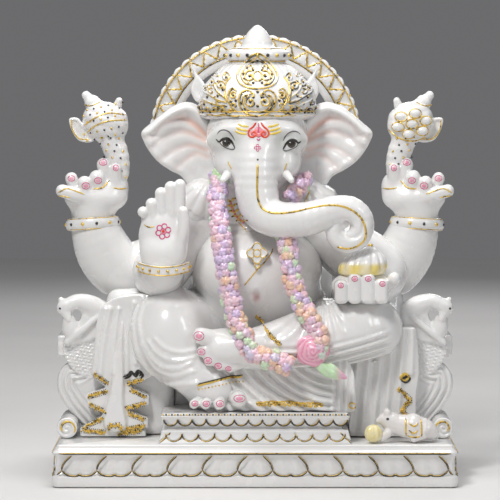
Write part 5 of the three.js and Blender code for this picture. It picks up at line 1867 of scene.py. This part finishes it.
def set_studio(scene):
    """A pale paper floor, four soft lights, a grey surround, and a camera that looks a little down."""
    bpy.ops.mesh.primitive_plane_add(size=6, location=(0, 0, -0.0005))
    floor = bpy.context.object
    floor.name = "floor"
    paper = Finish("paper", **{"Specular IOR Level": 0.2})
    shade = paper.mix(paper.noise(3.0).over(0.3, 0.7), (0.72, 0.71, 0.7, 1), (0.76, 0.75, 0.74, 1))
    floor.data.materials.append(paper.wear(Base_Color=shade, Roughness=0.7 + 0.1 * paper.noise(20.0)))
    for name, place, aim, size, power, colour in (
        ("key", (-0.4, -0.9, 1.3), (0, 0, 0.3), (0.26, 0.34), 12.5, (1, 0.99, 0.975)),
        ("fill", (1.3, -1.2, 1.2), (0, 0, 0.3), (0.3, 0.8), 5, (0.97, 0.985, 1)),
        ("top", (0, -0.1, 1.7), (0, 0, 0.2), (0.9, 0.5), 12, (1, 1, 1)),
        ("rear", (0.3, 1.9, 1.2), (0, 0, 0.25), (1.2, 0.8), 8, (1, 1, 1)),
    ):
        light = bpy.data.lights.new(name, "AREA")
        light.shape, light.size, light.size_y = "RECTANGLE", *size
        light.energy, light.color = power, colour
        lamp = bpy.data.objects.new(name, light)
        lamp.location = place
        lamp.rotation_euler = (Vector(aim) - Vector(place)).to_track_quat("-Z", "Y").to_euler()
        scene.collection.objects.link(lamp)
    world = bpy.data.worlds.new("studio")
    world.use_nodes = True
    world.node_tree.nodes["Background"].inputs["Color"].default_value = (0.62, 0.62, 0.64, 1)
    world.node_tree.nodes["Background"].inputs["Strength"].default_value = 0.24
    scene.world = world
    lens = bpy.data.cameras.new("camera")
    lens.lens = 186.0
    camera = bpy.data.objects.new("camera", lens)
    aim = Vector((-0.005, -0.05, 0.231))
    tilt = radians(4)
    camera.location = aim + 2.6 * Vector((0, -cos(tilt), sin(tilt)))
    camera.rotation_euler = (aim - camera.location).to_track_quat("-Z", "Y").to_euler()
    scene.collection.objects.link(camera)
    scene.camera = camera
    scene.view_settings.view_transform = "Standard"


class IDOL_OT_finishes(bpy.types.Operator):
    """Mix the marble, the paints and the enamels"""

    bl_idname = "idol.finishes"
    bl_label = "Finishes"

    def execute(self, context):
        mix_paints(context.scene.idol_look)
        return {"FINISHED"}


class IDOL_OT_plinth(bpy.types.Operator):
    """Carve the lotus plinth"""

    bl_idname = "idol.plinth"
    bl_label = "Lotus plinth"

    def execute(self, context):
        carve_plinth(context.scene.idol_look)
        return {"FINISHED"}


class IDOL_OT_pedestal(bpy.types.Operator):
    """Carve the step under the lower foot"""

    bl_idname = "idol.pedestal"
    bl_label = "Lotus step"

    def execute(self, context):
        carve_pedestal(context.scene.idol_look)
        return {"FINISHED"}


class IDOL_OT_throne(bpy.types.Operator):
    """Carve the throne's seat, back, arms and rails"""

    bl_idname = "idol.throne"
    bl_label = "Throne"

    def execute(self, context):
        carve_throne()
        return {"FINISHED"}


class IDOL_OT_cascades(bpy.types.Operator):
    """Carve the cloth over both arms of the throne"""

    bl_idname = "idol.cascades"
    bl_label = "Cloth on the throne"

    def execute(self, context):
        carve_cascades()
        return {"FINISHED"}


class IDOL_OT_peacocks(bpy.types.Operator):
    """Carve the peacocks and their scrolls"""

    bl_idname = "idol.peacocks"
    bl_label = "Peacocks"

    def execute(self, context):
        carve_peacocks(context.scene.idol_look)
        return {"FINISHED"}


class IDOL_OT_torso(bpy.types.Operator):
    """Carve the torso and both sleeves"""

    bl_idname = "idol.torso"
    bl_label = "Torso"

    def execute(self, context):
        carve_torso()
        return {"FINISHED"}


class IDOL_OT_legs(bpy.types.Operator):
    """Carve both legs"""

    bl_idname = "idol.legs"
    bl_label = "Legs"

    def execute(self, context):
        carve_legs()
        return {"FINISHED"}


class IDOL_OT_feet(bpy.types.Operator):
    """Carve both feet and paint their nails"""

    bl_idname = "idol.feet"
    bl_label = "Feet"

    def execute(self, context):
        carve_feet()
        return {"FINISHED"}


class IDOL_OT_cloth(bpy.types.Operator):
    """Carve the cloth between the legs"""

    bl_idname = "idol.cloth"
    bl_label = "Hanging cloth"

    def execute(self, context):
        carve_hanging_cloth()
        return {"FINISHED"}


class IDOL_OT_head(bpy.types.Operator):
    """Carve the head, trunk and tusks"""

    bl_idname = "idol.head"
    bl_label = "Head"

    def execute(self, context):
        carve_head()
        return {"FINISHED"}


class IDOL_OT_ears(bpy.types.Operator):
    """Carve both ears"""

    bl_idname = "idol.ears"
    bl_label = "Ears"

    def execute(self, context):
        carve_ears()
        return {"FINISHED"}


class IDOL_OT_crown(bpy.types.Operator):
    """Carve the crown and its finial"""

    bl_idname = "idol.crown"
    bl_label = "Crown"

    def execute(self, context):
        carve_crown()
        return {"FINISHED"}


class IDOL_OT_gilding(bpy.types.Operator):
    """Gild the crown"""

    bl_idname = "idol.gilding"
    bl_label = "Crown gilding"

    def execute(self, context):
        gild_crown(context.scene.idol_look)
        return {"FINISHED"}


class IDOL_OT_leaves(bpy.types.Operator):
    """Carve the leaves beside the crown"""

    bl_idname = "idol.leaves"
    bl_label = "Crown leaves"

    def execute(self, context):
        carve_crown_leaves()
        return {"FINISHED"}


class IDOL_OT_halo(bpy.types.Operator):
    """Carve and gild the halo"""

    bl_idname = "idol.halo"
    bl_label = "Halo"

    def execute(self, context):
        carve_halo(context.scene.idol_look)
        return {"FINISHED"}


class IDOL_OT_rear_arms(bpy.types.Operator):
    """Carve the raised arms, bangles and hands"""

    bl_idname = "idol.rear_arms"
    bl_label = "Raised arms"

    def execute(self, context):
        carve_rear_arms(context.scene.idol_look)
        return {"FINISHED"}


class IDOL_OT_vessels(bpy.types.Operator):
    """Carve what the raised hands hold"""

    bl_idname = "idol.vessels"
    bl_label = "Vessels"

    def execute(self, context):
        carve_vessels(context.scene.idol_look)
        return {"FINISHED"}


class IDOL_OT_blessing_arm(bpy.types.Operator):
    """Carve the blessing arm, bangle and hand"""

    bl_idname = "idol.blessing_arm"
    bl_label = "Blessing arm"

    def execute(self, context):
        carve_front_left_arm(context.scene.idol_look)
        return {"FINISHED"}


class IDOL_OT_offering_arm(bpy.types.Operator):
    """Carve the offering arm, bangle, hand and sweet"""

    bl_idname = "idol.offering_arm"
    bl_label = "Offering arm"

    def execute(self, context):
        carve_front_right_arm()
        return {"FINISHED"}


class IDOL_OT_garland(bpy.types.Operator):
    """Carve the garland"""

    bl_idname = "idol.garland"
    bl_label = "Garland"

    def execute(self, context):
        carve_garland(context.scene.idol_flowers)
        return {"FINISHED"}


class IDOL_OT_rose(bpy.types.Operator):
    """Carve the rose and the bud"""

    bl_idname = "idol.rose"
    bl_label = "Rose and bud"

    def execute(self, context):
        carve_rose(context.scene.idol_flowers)
        return {"FINISHED"}


class IDOL_OT_jewels(bpy.types.Operator):
    """Carve the pendant and paint the collar and thread"""

    bl_idname = "idol.jewels"
    bl_label = "Jewels"

    def execute(self, context):
        carve_jewels(context.scene.idol_look)
        return {"FINISHED"}


class IDOL_OT_mouse(bpy.types.Operator):
    """Carve the mouse and its sweet"""

    bl_idname = "idol.mouse"
    bl_label = "Mouse"

    def execute(self, context):
        carve_mouse(context.scene.idol_look)
        return {"FINISHED"}


class IDOL_OT_face(bpy.types.Operator):
    """Paint the face and the trunk"""

    bl_idname = "idol.face"
    bl_label = "Face"

    def execute(self, context):
        paint_face(context.scene.idol_look)
        return {"FINISHED"}


class IDOL_OT_hems(bpy.types.Operator):
    """Gild the hems"""

    bl_idname = "idol.hems"
    bl_label = "Hems"

    def execute(self, context):
        paint_cloth(context.scene.idol_look)
        return {"FINISHED"}


class IDOL_OT_studio(bpy.types.Operator):
    """Set up the floor, soft lights and camera"""

    bl_idname = "idol.studio"
    bl_label = "Studio"

    def execute(self, context):
        set_studio(context.scene)
        return {"FINISHED"}


STEPS = (IDOL_OT_finishes, IDOL_OT_plinth, IDOL_OT_pedestal, IDOL_OT_throne, IDOL_OT_cascades,
         IDOL_OT_peacocks, IDOL_OT_torso, IDOL_OT_legs, IDOL_OT_feet, IDOL_OT_cloth, IDOL_OT_head,
         IDOL_OT_ears, IDOL_OT_crown, IDOL_OT_gilding, IDOL_OT_leaves, IDOL_OT_halo, IDOL_OT_rear_arms,
         IDOL_OT_vessels, IDOL_OT_blessing_arm, IDOL_OT_offering_arm, IDOL_OT_garland, IDOL_OT_rose,
         IDOL_OT_jewels, IDOL_OT_mouse, IDOL_OT_face, IDOL_OT_hems, IDOL_OT_studio)


class IDOL_PT_panel(bpy.types.Panel):
    """Lists the steps in the 3D view's sidebar"""

    bl_label = "Marble Ganesha"
    bl_space_type = "VIEW_3D"
    bl_region_type = "UI"
    bl_category = "Idol"

    def draw(self, context):
        for group in (context.scene.idol_look, context.scene.idol_flowers):
            for name in group.bl_rna.properties.keys():
                if name not in ("rna_type", "name"):
                    self.layout.prop(group, name)
        for kind in STEPS:
            self.layout.operator(kind.bl_idname)


def register():
    for kind in (Look, Flowers, *STEPS, IDOL_PT_panel):
        bpy.utils.register_class(kind)
    bpy.types.Scene.idol_look = PointerProperty(type=Look)
    bpy.types.Scene.idol_flowers = PointerProperty(type=Flowers)


def unregister():
    del bpy.types.Scene.idol_flowers, bpy.types.Scene.idol_look
    for kind in (IDOL_PT_panel, *reversed(STEPS), Flowers, Look):
        bpy.utils.unregister_class(kind)


def main():
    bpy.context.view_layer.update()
    register()
    for kind in STEPS:
        getattr(bpy.ops.idol, kind.bl_idname.split(".")[1])()


if __name__ == "__main__":
    main()
